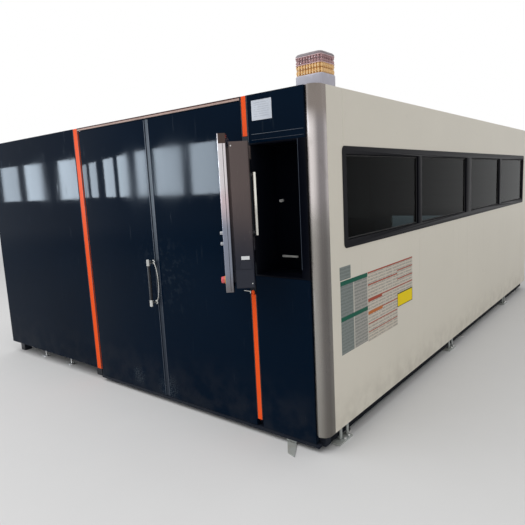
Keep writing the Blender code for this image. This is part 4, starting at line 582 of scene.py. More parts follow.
# A colour is written out here, or named by its group of settings and its setting.
# Satin paints: colour, roughness, dust, height that the dust reaches, texture, specular
SATIN_PAINTS = {
    "body_navy": (tone(26, 34, 46), 0.40, 0.08, 0.4, 0.12, 0.2),
    "paint_orange": ("front.orange", 0.34, 0.12, 0.4, 0.05, 0.015),
    "leaf_trim": ("front.trim_paint", 0.40, 0.0, 0.5, 0.12, 0.12),
    "leaf_profile": ("front.profile", 0.40, 0.0, 0.5, 0.12, 0.10),
    "recess_black": (tone(8, 11, 20), 0.40, 0.0, 0.5, 0.06, 0.06),
    "catch_white": (tone(244, 244, 240), 0.35, 0.0, 0.5, 0.12, 0.3),
    "recess_edge": (tone(44, 52, 66), 0.35, 0.0, 0.5, 0.12, 0.3),
    "foot_paint": ("console.foot", 0.40, 0.0),
    "bezel_cap": (tone(66, 48, 42), 0.45, 0.0),
    "window_paint": ("side.window", 0.40, 0.0, 0.5, 0.08, 0.05),
    "frame_paint": (tone(22, 28, 40), 0.50, 0.03, 0.5, 0.12, 0.08),
    "base_paint": ("base.black", 0.55, 0.02, 0.10, 0.12, 0.04),
    "anchor_paint": ("base.anchor", 0.50, 0.5, 0.10),
    "bed_paint": ("inside.bed", 0.45, 0.3, 0.9),
    "bridge_paint": ("inside.bridge", 0.40, 0.0),
    "slide_paint": (tone(60, 62, 66), 0.42, 0.0),
    "roof_paint": ("base.roof", 0.48, 0.0),
}
# Mouldings: colour, roughness, specular
MOULDINGS = {
    "keypad_plastic": (tone(58, 60, 66),),
    "key_plastic": (tone(172, 174, 178), 0.42),
    "handle_plastic": (tone(34, 34, 38), 0.36),
    "stop_red": (tone(196, 26, 38), 0.28),
    "start_green": (tone(44, 158, 84), 0.28, 0.5),
    "collar_yellow": (tone(226, 160, 66), 0.4),
    "label_white": (tone(226, 228, 230), 0.5),
    "gasket_rubber": (tone(22, 22, 24), 0.62, 0.3),
    "rose_band": (tone(216, 184, 186), 0.4),
    "lamp_cap": ("lamp.cap", 0.45),
    "lamp_body": ("lamp.body", 0.45),
    "chain_plastic": (tone(32, 32, 34), 0.5),
}
# Polished metals: colour, roughness
POLISHED_METALS = {
    "bright_metal": (tone(212, 212, 208), 0.14),
    "grip_metal": (tone(222, 220, 212), 0.22),
    "copper": (tone(214, 142, 104), 0.20),
    "plug_brass": (tone(198, 170, 104), 0.25),
}
LENSES = {"amber_lens": ("lamp.amber",), "rose_lens": ("lamp.rose",)}
# Painted shade inside the lenses, as dark cores: colour of the lens, how much darker
SHADED_LENS_CORES = {"amber_lens_core": ("lamp.amber", 0.35), "rose_lens_core": ("lamp.rose", 0.28)}
SINGLE_FINISHES = (lacquer_navy, head_trim, paint_cream, steel_pillar, housing_paint, bezel_metal, zinc,
                   turned_aluminium, glass_sheet, screen_glass, cut_slats, worn_tray, slag_beads, paper_bars,
                   chart_fields)
FINISHES = {name: (make, *values) for make, table in (
    (satin_paint, SATIN_PAINTS), (moulded, MOULDINGS), (polished, POLISHED_METALS),
    (lens_plastic, LENSES), (lens_core, SHADED_LENS_CORES)) for name, values in table.items()}
FINISHES.update({make.__name__: (make,) for make in SINGLE_FINISHES})


def look(name):
    """The finish of that name, made when it is first asked for."""
    material = bpy.data.materials.get(name)
    if material is None:
        make, *values = FINISHES[name]
        if values and isinstance(values[0], str):
            group, key = values[0].split(".")
            values[0] = getattr(getattr(settings(), group), key)
        material = make(name, *values).material
    return material


# Shapes: each function that adds to a bmesh gives it back

def to_mesh(name, shape):
    """Turn a bmesh, which is used up, into a mesh."""
    mesh = bpy.data.meshes.new(name)
    shape.to_mesh(mesh)
    shape.free()
    return mesh


def add_object(name, data):
    made = bpy.data.objects.new(name, data)
    bpy.context.scene.collection.objects.link(made)
    return made


def boxes(*pairs):
    """A bmesh of closed boxes, each between two corners."""
    shape = bmesh.new()
    for low, high in pairs:
        low, high = Vector(low), Vector(high)
        place = Matrix.Translation((low + high) / 2) @ Matrix.Diagonal((*(high - low), 1))
        bmesh.ops.create_cube(shape, size=1, matrix=place)
    return shape


def add_rings(shape, rings, looped=False):
    """Join rings of points, each to the next, and close the ends unless the last joins the first."""
    rings = [[shape.verts.new(point) for point in ring] for ring in rings]
    for lower, upper in zip(rings, rings[1:] + rings[:1] if looped else rings[1:]):
        steps = max(len(lower), len(upper))
        for step in range(steps):
            after = (step + 1) % steps
            corners = (lower[step % len(lower)], lower[after % len(lower)],
                       upper[after % len(upper)], upper[step % len(upper)])
            shape.faces.new(list(dict.fromkeys(corners)))
    for end in () if looped else (rings[0][::-1], rings[-1]):
        if len(end) > 1:
            shape.faces.new(end)
    return shape


def add_sheet(shape, low, high, level):
    """Add a flat rectangle between two (x, y) corners."""
    outline = ((low[0], low[1]), (high[0], low[1]), (high[0], high[1]), (low[0], high[1]))
    shape.faces.new([shape.verts.new((*spot, level)) for spot in outline])
    return shape


def add_prism(shape, outline, low, high):
    """Add an upright solid with a closed outline of (x, y) points."""
    return add_rings(shape, [[(x, y, level) for x, y in outline] for level in (low, high)])


def circle(radius, height, segments):
    """Points round the Z axis, or one point where the radius is 0."""
    turns = [2 * math.pi * step / segments for step in range(segments if radius else 1)]
    return [Vector((radius * math.cos(turn), radius * math.sin(turn), height)) for turn in turns]


def add_turned(shape, profile, center, direction, segments=ROUND, looped=False):
    """Add a turned solid of (radius, height) points along a direction: from axis to axis, or a ring."""
    turn = Vector(direction).to_track_quat("Z", "Y").to_matrix().to_4x4()
    place = Matrix.Translation(center) @ turn
    rings = [[place @ point for point in circle(radius, height, segments)] for radius, height in profile]
    return add_rings(shape, rings, looped)


def add_tube(shape, points, radius, segments):
    """Add a closed round bar along points."""
    points = [Vector(point) for point in points]
    rings = []
    side = None
    for index, point in enumerate(points):
        ahead = (points[min(index + 1, len(points) - 1)] - points[max(index - 1, 0)]).normalized()
        side = ahead.orthogonal() if side is None else side
        side = (side - ahead * side.dot(ahead)).normalized()
        turn = Matrix((side, ahead.cross(side), ahead)).transposed()
        rings.append([point + turn @ spot for spot in circle(radius, 0, segments)])
    return add_rings(shape, rings)


def arc(center, radius, start, end, steps):
    """Points on an arc between two angles in degrees."""
    angles = [math.radians(start + (end - start) * step / steps) for step in range(steps + 1)]
    return [(center[0] + radius * math.cos(angle), center[1] + radius * math.sin(angle))
            for angle in angles]


def rounded_outline(low, high, radius, steps=6):
    """Outline of a rectangle with rounded corners."""
    (left, near), (right, far) = low, high
    centers = ((right - radius, near + radius), (right - radius, far - radius),
               (left + radius, far - radius), (left + radius, near + radius))
    return [point for number, center in enumerate(centers)
            for point in arc(center, radius, 90 * number - 90, 90 * number, steps)]


def poly_path(points, closed=False):
    """A curve of straight runs along points."""
    path = bpy.data.curves.new("path", "CURVE")
    path.dimensions = "3D"
    line = path.splines.new("POLY")
    line.points.add(len(points) - 1)
    line.use_cyclic_u = closed
    for spot, point in zip(line.points, points):
        spot.co = (*point, 1)
    return path


def chamfer(shape, width, angle=40):
    """Take the sharpness off the outer edges."""
    least = math.radians(angle)
    edges = [edge for edge in shape.edges
             if len(edge.link_faces) == 2 and edge.calc_face_angle_signed(0) > least]
    bmesh.ops.bevel(shape, geom=edges, offset=width, segments=1, affect="EDGES", clamp_overlap=True)


def finished(name, shape, finish, body, edge=0.0, replaces=(), smooth=30):
    """Make a piece from a bmesh: chamfered, faces outward, with its finish, riding on its body."""
    bmesh.ops.recalc_face_normals(shape, faces=shape.faces)
    if edge:
        chamfer(shape, edge)
    mesh = to_mesh(name, shape)
    mesh.materials.append(look(finish))
    mesh.shade_smooth()
    mesh.set_sharp_from_angle(angle=math.radians(smooth))
    made = add_object(name, mesh)
    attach(made, body)
    if replaces:
        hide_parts(*replaces)


def dress(finish, edge, *nodes):
    """Replace CAD pieces by copies of them with chamfered edges and a finish."""
    bodies = frame["record"]["behaviour"]["bodies"]
    for node in nodes:
        body = next(body for body, members in bodies.items() if node in members)
        shape = bmesh.new()
        shape.from_mesh(frame["nodes"][node].data)
        bmesh.ops.remove_doubles(shape, verts=shape.verts, dist=1e-5)
        bmesh.ops.dissolve_limit(shape, angle_limit=math.radians(0.5), verts=shape.verts, edges=shape.edges)
        finished(node + "_finished", shape, finish, body, edge, (node,))


def repaint(finish, *nodes):
    """Give CAD pieces a finish and leave their shapes as they are."""
    for node in nodes:
        materials = frame["nodes"][node].data.materials
        materials.clear()
        materials.append(look(finish))


# Geometry Nodes

class CopyTree(Nodes):
    """A Geometry Nodes tree that makes points and puts a copy of a piece on each."""

    def __init__(self, kind, **inputs):
        super().__init__(bpy.data.node_groups.new(f"{kind} of copies", "GeometryNodeTree"))
        sockets = {"Geometry": "Geometry", **inputs, "Piece": "Object", "Finish": "Material"}
        face = self.tree.interface
        face.new_socket("Geometry", in_out="OUTPUT", socket_type="NodeSocketGeometry")
        for label, sort in sockets.items():
            face.new_socket(label, in_out="INPUT", socket_type="NodeSocket" + sort)
        given = self.tree.nodes.new("NodeGroupInput").outputs
        self.given = {label: Signal(self, given[label]) for label in sockets}

    def end(self, points, rotation, scale=(1, 1, 1)):
        """Copy the piece to the points, make the copies real and give them their finish."""
        piece = self.node("GeometryNodeObjectInfo", {}, {"Object": self.given["Piece"]}, "Geometry")
        copies = self.node("GeometryNodeInstanceOnPoints", {}, {"Points": points, "Instance": piece,
                                                                "Rotation": rotation, "Scale": scale})
        real = self.node("GeometryNodeRealizeInstances", {}, {"Geometry": copies})
        done = self.node("GeometryNodeSetMaterial", {}, {"Geometry": real, "Material": self.given["Finish"]})
        plug_in(self.tree, self.tree.nodes.new("NodeGroupOutput"), {0: done})
        return self.tree


def row_tree():
    """Copies in a straight row from a start to an end."""
    made = CopyTree("row", Count="Int", Start="Vector", End="Vector", Turn="Vector")
    given = made.given
    whole = made.node("ShaderNodeVectorMath", {"operation": "SUBTRACT"},
                      {0: given["End"], 1: given["Start"]})
    step = made.node("ShaderNodeVectorMath", {"operation": "SCALE"},
                     {0: whole, "Scale": 1 / (given["Count"] - 1)})
    line = made.node("GeometryNodeMeshLine", {"mode": "OFFSET"},
                     {"Count": given["Count"], "Start Location": given["Start"], "Offset": step})
    return made.end(line, given["Turn"])


def grid_tree():
    """Copies on an upright grid, placed by a centre and turned with it."""
    made = CopyTree("grid", Columns="Int", Rows="Int", Width="Float", Height="Float", Center="Vector",
                    Turn="Vector")
    given = made.given
    grid = made.node("GeometryNodeMeshGrid", {}, {"Size X": given["Width"], "Size Y": given["Height"],
                                                  "Vertices X": given["Columns"],
                                                  "Vertices Y": given["Rows"]})
    placed = made.node("GeometryNodeTransform", {}, {"Geometry": grid, "Translation": given["Center"],
                                                     "Rotation": given["Turn"]})
    return made.end(placed, given["Turn"])


def path_tree():
    """Copies spaced along a curve, each turned to follow it."""
    made = CopyTree("path", Count="Int")
    points = made.node("GeometryNodeCurveToPoints", {}, {"Curve": made.given["Geometry"],
                                                         "Count": made.given["Count"]}, "Points")
    return made.end(points, points.socket.node.outputs["Rotation"])


def scatter_tree():
    """Copies of random size scattered over a surface."""
    made = CopyTree("scatter", Density="Float", Seed="Int", Least="Float", Most="Float")
    given = made.given
    points = made.node("GeometryNodeDistributePointsOnFaces", {}, {"Mesh": given["Geometry"],
                                                                   "Density": given["Density"],
                                                                   "Seed": given["Seed"]})
    size = made.node("FunctionNodeRandomValue", {}, {2: given["Least"], 3: given["Most"],
                                                     "Seed": given["Seed"]}, output=1)
    turn = made.node("FunctionNodeRandomValue", {"data_type": "FLOAT_VECTOR"},
                     {0: (0, 0, 0), 1: (6.28, 6.28, 6.28), "Seed": given["Seed"]})
    return made.end(points, turn, size)


TREES = {"row": row_tree, "grid": grid_tree, "path": path_tree, "scatter": scatter_tree}


def grow(kind, shape, pattern, finish, host=None, **values):
    """Run a tree once with its inputs set, and add the plain mesh that it makes to a bmesh."""
    tree = bpy.data.node_groups.get(f"{kind} of copies") or TREES[kind]()
    piece = add_object("copied", to_mesh("copied", pattern))
    host = add_object("host", host or bpy.data.meshes.new("host"))
    step = host.modifiers.new("copies", "NODES")
    step.node_group = tree
    values.update(Piece=piece, Finish=look(finish))
    for item in tree.interface.items_tree:
        if item.in_out == "INPUT" and item.name in values:
            step[item.identifier] = values[item.name]
    graph = bpy.context.evaluated_depsgraph_get()
    mesh = bpy.data.meshes.new_from_object(host.evaluated_get(graph), depsgraph=graph)
    shape.from_mesh(mesh)
    bpy.data.meshes.remove(mesh)
    bpy.data.objects.remove(host)
    bpy.data.objects.remove(piece)


def screw_pattern(radius, height):
    """A cap screw head with a sunk socket, standing on its underside along +Z."""
    profile = [(0, 0), (radius, 0), (radius, height * 0.75), (radius * 0.85, height),
               (radius * 0.5, height), (radius * 0.45, height * 0.4), (0, height * 0.4)]
    return add_turned(bmesh.new(), profile, (0, 0, 0), UP, 12)


def add_rail_plugs(name, body, radius, count, rows, turn=(0, 0, 0)):
    """Flush plugs that close a rail's screw holes, in rows from a start to an end."""
    shape = bmesh.new()
    profile = [(0, 0), (radius, 0), (radius * 14 / 15, 0.00015), (0, 0.0002)]
    for start, end in rows:
        plug = add_turned(bmesh.new(), profile, (0, 0, 0), UP, 12)
        grow("row", shape, plug, "plug_brass", Count=count, Start=start, End=end, Turn=turn)
    finished(name, shape, "plug_brass", body)


# Pieces

class DressFront(bpy.types.Operator):
    """Lacquer the front panels and paint the vertical strips"""
    bl_idname = "laser_cutter.dress_front"
    bl_label = "Front panels"

    def execute(self, context):
        edge = settings().front.edge
        dress("lacquer_navy", edge, "front_door", "fixed_front_panel", "corner_header",
              "corner_lower_panel", "block_front_cover")
        dress("paint_orange", edge, *STRIPS)
        dress("frame_paint", edge, "front_frame")
        repaint("zinc", "door_pivot_lower", "door_pivot_upper")
        return {"FINISHED"}


class AddFrontTrims(bpy.types.Operator):
    """Add the trims of the two leaves, the strip along the head and the strips' seals and end pieces"""
    bl_idname = "laser_cutter.front_trims"
    bl_label = "Front trims"

    def execute(self, context):
        chosen = settings().front
        width, proud = chosen.trim_width, chosen.trim_proud
        inset, end = 0.0005, 0.004
        door_low, door_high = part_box("front_door")
        panel_low, panel_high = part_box("fixed_front_panel")
        frame_low, frame_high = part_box("front_frame")
        header_low, header_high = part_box("corner_header")
        trims = (
            ("door_edge_trim", "leaf_trim", "front_door", "stainless",
             (door_high.x - width, door_low.y - proud, door_low.z + end),
             (door_high.x - inset, door_low.y + proud, door_high.z - end)),
            ("panel_edge_trim", "leaf_trim", "cabin", "stainless",
             (panel_low.x + inset, panel_low.y - proud, panel_low.z + end),
             (panel_low.x + width, panel_low.y + proud, panel_high.z - end)),
            ("leaf_profile", "leaf_profile", "cabin", "frame_dark",
             (door_high.x + 0.002, door_low.y + 0.004, door_low.z + end),
             (panel_low.x + inset, door_low.y + 0.008, door_high.z - 0.002)),
            ("head_strip", "head_trim", "cabin", "frame_dark",
             (door_low.x, frame_low.y - proud, frame_high.z - 0.021),
             (panel_high.x, frame_low.y + proud, frame_high.z - inset)),
            ("header_edge_trim", "leaf_trim", "cabin", "stainless",
             (header_low.x + inset, header_low.y - proud, header_low.z + end),
             (header_low.x + width / 2, header_low.y + proud, header_high.z - end)))
        for name, finish, body, slot, low, high in trims:
            finished(name, boxes((low, high)), finish, body, inset)
        seal, outside = chosen.seal, 0.0003
        seals = [((x, low.y - proud, low.z), (x + seal, low.y + proud, high.z))
                 for low, high in map(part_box, STRIPS) for x in (low.x - outside, high.x + outside - seal)]
        finished("strip_seals", boxes(*seals), "gasket_rubber", "cabin", 0.0005)
        self.add_strip_end()
        return {"FINISHED"}

    def add_strip_end(self):
        """A rounded end piece and a small bracket above the lower right strip."""
        low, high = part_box("stripe_right_lower")
        profile = [(0, 0), (0.013, 0), (0.013, 0.006), (0.010, 0.010), (0.005, 0.0115), (0, 0.012)]
        center = ((low.x + high.x) / 2, low.y + 0.001, high.z + 0.014)
        finished("strip_end_plug", add_turned(bmesh.new(), profile, center, FORWARD, 24), "paint_orange",
                 "cabin")
        near, far, top = low.y - 0.003, low.y, high.z + 0.021
        bracket = boxes(((low.x - 0.052, near, high.z + 0.016), (low.x - 0.002, far, top)),
                        ((low.x - 0.002, near, high.z + 0.004), (low.x + 0.004, far, top)))
        finished("strip_end_bracket", bracket, "bright_metal", "cabin", 0.0008)


class AddDoorHandle(bpy.types.Operator):
    """Replace the door handle by a turned bar with bright end caps, and add a bright bowed bar between its
    mounts as a painted reflection of the handle in the door
    """
    bl_idname = "laser_cutter.door_handle"
    bl_label = "Door handle"

    def execute(self, context):
        low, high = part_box("door_handle")
        radius = (high.x - low.x) / 2
        x, y = (low.x + high.x) / 2, low.y + radius
        cap, neck, taper = 0.050, radius * 0.8, 0.003
        run, reach = high.z - low.z - cap, high.y - y
        rod = [(0, 0), (neck, 0), (neck, run), (0, run)]
        bar = add_turned(bmesh.new(), rod, (x, y, low.z + cap / 2), UP)
        finished("door_handle_bar", bar, "handle_plastic", "front_door", 0.0, ("door_handle",))
        end = [(0, 0), (neck, 0), (radius, taper), (radius, cap - taper), (neck, cap), (0, cap)]
        foot = [(0, 0), (0.011, 0), (0.011, reach - 2 * taper), (0.016, reach - taper), (0.016, reach),
                (0, reach)]
        shape = bmesh.new()
        for start in (low.z, high.z - cap):
            add_turned(shape, end, (x, y, start), UP)
            add_turned(shape, foot, (x, y, start + cap / 2), REARWARD, 24)
        finished("door_handle_ends", shape, "bright_metal", "front_door")
        # Painted reflection: a bright bowed bar lying on the door face, where the gloss lacquer would mirror
        # the handle.
        middle = (low.z + high.z) / 2
        reflection_bow = [(x + 0.046 * across, high.y - 0.0085, middle + run / 2 * up)
               for across, up in arc((0, 0), 1, 90, -90, 24)]
        finished("door_handle_bow", add_tube(bmesh.new(), reflection_bow, 0.0050, 12), "bright_metal", "front_door")
        return {"FINISHED"}


class AddCornerPillar(bpy.types.Operator):
    """Replace the stainless pillar by one with a finely rounded corner"""
    bl_idname = "laser_cutter.corner_pillar"
    bl_label = "Corner pillar"

    def execute(self, context):
        low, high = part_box("corner_pillar")
        front, side, radius, support = 0.064, 0.100, 0.060, 0.002
        outline = [(-front, 0), (-radius - support, 0), *arc((-radius, radius), radius, -90, 0, 28),
                   (0, radius + support), (0, side), (-0.040, side), (-0.040, 0.0447), (-0.0837, 0.0447),
                   (-0.0837, 0.015), (-front, 0.015)]
        shape = add_prism(bmesh.new(), [at(x, y, 0).xy for x, y in outline], low.z, high.z)
        finished("corner_pillar_finished", shape, "steel_pillar", "cabin", 0.001,
                 ("corner_pillar",))
        return {"FINISHED"}


class DressRecess(bpy.types.Operator):
    """Finish the recess and add its lip lines, edge trim, catch and the notice sheet"""
    bl_idname = "laser_cutter.recess"
    bl_label = "Recess"

    def execute(self, context):
        dress("recess_black", 0.001, "niche_housing")
        dress("recess_black", 0.0008, "console_hinge")
        low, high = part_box("niche_housing")
        proud, sunk = -0.0012, 0.001
        lines = boxes(*((at(-0.470, proud, level), at(-0.092, sunk, level + 0.0025))
                        for level in (high.z + 0.016, high.z + 0.050)))
        finished("recess_lines", lines, "recess_edge", "cabin", 0.0003)
        trim = boxes((at(-0.1375, proud, low.z + 0.060), at(-0.1345, sunk, high.z - 0.002)))
        finished("recess_corner_trim", trim, "leaf_trim", "cabin", 0.0003)
        back = 0.2495
        knob = [(0, 0), (0.010, 0), (0.010, 0.006), (0.007, 0.010), (0.007, 0.018), (0.010, 0.020),
                (0.009, 0.026), (0, 0.026)]
        catch = boxes((at(-0.452, 0.236, 1.180), at(-0.330, back, 1.192)))
        add_turned(catch, knob, at(-0.440, back, 1.552), FORWARD, 24)
        finished("recess_catch", catch, "catch_white", "cabin")
        (left, bottom), (right, top) = NOTICE_LOW, NOTICE_HIGH
        sheet = boxes((at(left, -0.0010, bottom), at(right, -0.0002, top)))
        finished("notice_sheet", sheet, "paper_bars", "cabin", 0.0002)
        return {"FINISHED"}


class DressConsole(bpy.types.Operator):
    """Finish the swung console, with its keys, buttons, label, foot plate and grip"""
    bl_idname = "laser_cutter.console"
    bl_label = "Console"

    def execute(self, context):
        dress("housing_paint", 0.001, "console_housing")
        dress("bezel_metal", 0.0015, "console_bezel")
        dress("screen_glass", 0.0005, "console_screen")
        dress("keypad_plastic", 0.0005, "console_keypad")
        self.add_end_plates()
        self.add_keys(settings().console)
        self.add_buttons()
        self.add_grip()
        return {"FINISHED"}

    def prism(self, shape, outline, low, high):
        """An upright solid with a closed outline of (across, out) points on the console."""
        return add_prism(shape, [on_console(*spot, 0).xy for spot in outline], low, high)

    def box(self, shape, across, out, levels):
        """A box on the console between two limits each way."""
        outline = [(across[0], out[0]), (across[1], out[0]), (across[1], out[1]), (across[0], out[1])]
        return self.prism(shape, outline, *levels)

    def add_end_plates(self):
        """Plates, label, cap, seam and screws on the outer end."""
        end = CONSOLE_END + HAIR
        for name, finish, out, levels, thickness in (
                ("console_foot_plate", "foot_paint", (-0.104, -0.006), (1.094, 1.196), 0.0015),
                ("console_port_cover", "foot_paint", (-0.072, -0.015), (1.200, 1.246), 0.0020),
                ("console_label", "label_white", (-0.070, -0.024), (1.252, 1.272), 0.0008)):
            plate = self.box(bmesh.new(), (end, end + thickness), out, levels)
            finished(name, plate, finish, "console", 0.0003)
        face, back, corner = CONSOLE_FACE - 0.0004, -0.1205, CONSOLE_END + 0.0006
        cap = [(0.001, face), (0.3562, face), (corner, CONSOLE_FACE + 0.0050), (corner, back), (0.001, back)]
        shape = self.prism(bmesh.new(), cap, BEZEL_TOP, BEZEL_TOP + 0.0015)
        self.box(shape, (end, end + 0.0006), (CONSOLE_FACE + 0.0055, back), (BEZEL_SHOULDER, BEZEL_TOP))
        finished("console_bezel_cap", shape, "bezel_cap", "console", 0.0003)
        seam = self.box(bmesh.new(), (end, end + 0.0004), (-0.1385, -0.1360), (BEZEL_FOOT, BEZEL_SHOULDER))
        finished("console_bezel_seam", seam, "gasket_rubber", "console")
        head = [(0, 0), (0.004, 0), (0.0038, 0.0012), (0.002, 0.0018), (0, 0.0012)]
        screws = bmesh.new()
        for out, level in ((-0.094, 1.878), (-0.014, 1.115)):
            add_turned(screws, head, on_console(end + HAIR, out, level), console_way(1, 0), 16)
        finished("console_screws", screws, "zinc", "console")

    def add_keys(self, chosen):
        """A field of keys and two knobs on the keypad."""
        half, pitch = chosen.key_size / 2, chosen.key_size * 1.28
        outline = rounded_outline((-half, -half), (half, half), chosen.key_size * 0.18, 2)
        key = add_prism(bmesh.new(), outline, 0, 0.0015)
        chamfer(key, 0.0005, 60)
        keypad = CONSOLE_FACE + 0.002 - HAIR
        shape = bmesh.new()
        grow("grid", shape, key, "key_plastic", Columns=chosen.key_columns, Rows=chosen.key_rows,
             Width=pitch * (chosen.key_columns - 1), Height=pitch * (chosen.key_rows - 1),
             Center=on_console(0.180, keypad, 1.350), Turn=(QUARTER, 0, -CONSOLE_ANGLE))
        knob = [(0, 0), (0.013, 0), (0.013, 0.003), (0.010, 0.005), (0.010, 0.016), (0.008, 0.018),
                (0, 0.018)]
        for level in (1.345, 1.405):
            add_turned(shape, knob, on_console(0.326, keypad, level), console_way(0, -1), 20)
        finished("console_keys", shape, "key_plastic", "console")

    def add_buttons(self):
        """Turned stop and start buttons, each in a collar."""
        stop, start = (on_console(across, CONSOLE_FACE, 1.130) for across in (0.280, 0.080))
        caps = (
            ("stop_button", "stop_red", stop,
             [(0, -0.009), (0.012, -0.009), (0.012, 0.0055), (0.0195, 0.0075), (0.020, 0.012),
              (0.0198, 0.022), (0.0180, 0.0265), (0.0140, 0.0290), (0.008, 0.0298), (0, 0.030)]),
            ("start_button", "start_green", start,
             [(0, -0.005), (0.0109, -0.005), (0.0109, 0.007), (0.0100, 0.0095), (0.006, 0.010), (0, 0.010)]))
        for node, finish, center, profile in caps:
            cap = add_turned(bmesh.new(), profile, center, console_way(0, -1))
            finished(node + "_cap", cap, finish, node, 0.0, (node,))
        collars = (
            ("stop_button_collar", "collar_yellow", "amber_lens", stop,
             [(0.0135, 0), (0.0245, 0), (0.0240, 0.0075), (0.0218, 0.0085), (0.0212, 0.0004),
              (0.0135, 0.0004)]),
            ("start_button_collar", "handle_plastic", "dark_grey", start,
             [(0.0115, 0), (0.0170, 0), (0.0160, 0.0025), (0.0115, 0.0025)]))
        for name, finish, slot, center, section in collars:
            collar = add_turned(bmesh.new(), section, center, console_way(0, -1), looped=True)
            finished(name, collar, finish, "console")

    def add_grip(self):
        """A flat bright bar on two dark brackets."""
        low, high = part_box("console_grip")
        middle, reach, half, thickness = CONSOLE_END - 0.055, 0.034, 0.007, 0.018
        bar = self.box(bmesh.new(), (middle - half, middle + half), (reach - thickness, reach),
                       (low.z, high.z - 0.006))
        finished("console_grip_bar", bar, "grip_metal", "console", 0.0025, ("console_grip",), 50)
        shape = bmesh.new()
        half -= 0.001
        for level in (low.z + 0.012, high.z - 0.030):
            self.box(shape, (middle - half, middle + half), (0.0003, reach - thickness - 0.0002),
                     (level, level + 0.016))
        finished("console_grip_brackets", shape, "handle_plastic", "console", 0.001)


class DressSide(bpy.types.Operator):
    """Paint the covers, finish the windows with their rubber gaskets and add the plain chart"""
    bl_idname = "laser_cutter.side"
    bl_label = "White side"

    def execute(self, context):
        chosen = settings().side
        dress("paint_cream", chosen.edge, "side_cover_front", "side_cover_middle", "side_cover_rear",
              "side_cover_end", "side_header", "left_wall")
        dress("window_paint", 0.0015, "window_frame")
        gaskets = bmesh.new()
        for number in range(1, 5):
            pane = f"window_pane_{number}"
            repaint("glass_sheet", pane)
            self.add_gasket(gaskets, *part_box(pane), chosen.gasket)
        finished("window_gaskets", gaskets, "gasket_rubber", "cabin")
        fields = (((0.199, 1.056), (0.336, 1.139)), ((0.203, 0.582), (0.560, 1.050)),
                  ((0.5605, 0.570), (1.0415, 1.050)), ((1.042, 0.704), (1.327, 1.050)))
        chart = boxes(*((at(HAIR, *low), at(0.0006, *high)) for low, high in fields))
        finished("side_chart", chart, "chart_fields", "cabin", 0.0002)
        return {"FINISHED"}

    def add_gasket(self, shape, low, high, width):
        """A rubber channel with a rounded outer bead, pressed round a pane."""
        out = high.x + HAIR
        section = [(0.0003, 0.0), (width * 0.35, 0.0035), (width * 0.75, 0.0035), (width, 0.0)]
        add_rings(shape, [[(out + proud, y, z) for y, z in (
            (low.y + inset, low.z + inset), (high.y - inset, low.z + inset),
            (high.y - inset, high.z - inset), (low.y + inset, high.z - inset))]
            for inset, proud in section], looped=True)


class AddSignalLamp(bpy.types.Operator):
    """Replace the two lamp tiers by fluted lenses and finish the base and the cap"""
    bl_idname = "laser_cutter.signal_lamp"
    bl_label = "Signal lamp"

    def execute(self, context):
        chosen = settings().lamp
        dress("lamp_body", 0.0, "lamp_base")
        dress("lamp_cap", 0.0, "lamp_cap")
        for node, finish, slot in (("lamp_amber_lens", "amber_lens", "amber_lens"),
                                   ("lamp_red_lens", "rose_lens", "pale_red_lens")):
            low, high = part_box(node)
            # Painted shade: a dark core in a darkened copy of the lens colour fills the inside of the tier.
            core = self.outline(low, high, chosen.flute_radius, 0.016)
            shape = add_prism(bmesh.new(), core, low.z, high.z)
            finished(node + "_core", shape, finish + "_core", "cabin")
            shape = self.flutes(core, low.z, high.z, chosen, finish)
            finished(node + "_finished", shape, finish, "cabin", 0.0, (node,), 50)
            band = self.outline(low, high, 0.001, 0.018)
            shape = add_prism(bmesh.new(), band, high.z - 0.0035, high.z + 0.0005)
            finished(node + "_band", shape, "rose_band", "cabin", 0.0005)
        return {"FINISHED"}

    def outline(self, low, high, inset, radius):
        """A tier's outline, moved inward and rounded."""
        return rounded_outline((low.x + inset, low.y + inset), (high.x - inset, high.y - inset), radius)

    def flutes(self, outline, low, high, chosen, finish):
        """Two rows of faceted beads round a tier, copied along its outline."""
        half = (high - low) / 2
        tall, radius = half / 2 - 0.0008, chosen.flute_radius
        narrow, bend = radius * 0.60, tall * 0.92
        profile = [(0, -tall), (narrow, -bend), (radius * 0.98, 0), (narrow, bend), (0, tall)]
        shape = bmesh.new()
        for level in (low + half / 2, high - half / 2):
            bead = add_turned(bmesh.new(), profile, (0, 0, 0), REARWARD, 8)
            path = poly_path([(x, y, level) for x, y in outline], closed=True)
            grow("path", shape, bead, finish, path, Count=chosen.flutes)
        return shape


class DressLeftBlock(bpy.types.Operator):
    """Finish the left block, its door and latch and the laser source, and add small levelling feet"""
    bl_idname = "laser_cutter.left_block"
    bl_label = "Left block"

    def execute(self, context):
        dress("body_navy", 0.002, "block_shell")
        dress("body_navy", 0.0015, "service_door")
        dress("zinc", 0.0008, "service_latch")
        dress("roof_paint", 0.003, "laser_source")
        low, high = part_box("block_shell")
        plate, stem, nut, top = 0.028, 0.007, 0.013, 0.1095
        profile = [(0, 0.0), (plate, 0.0), (plate, 0.008), (0.010, 0.014), (stem, 0.014), (stem, 0.070),
                   (nut, 0.070), (nut, 0.084), (stem, 0.084), (stem, top), (0, top)]
        shape = bmesh.new()
        for x in (-3.47, -2.99):
            for y in (low.y + 0.055, high.y - 0.08):
                add_turned(shape, profile, (SIDE + x, y, 0.0003), UP, 24)
        finished("block_levellers", shape, "zinc", "cabin")
        return {"FINISHED"}


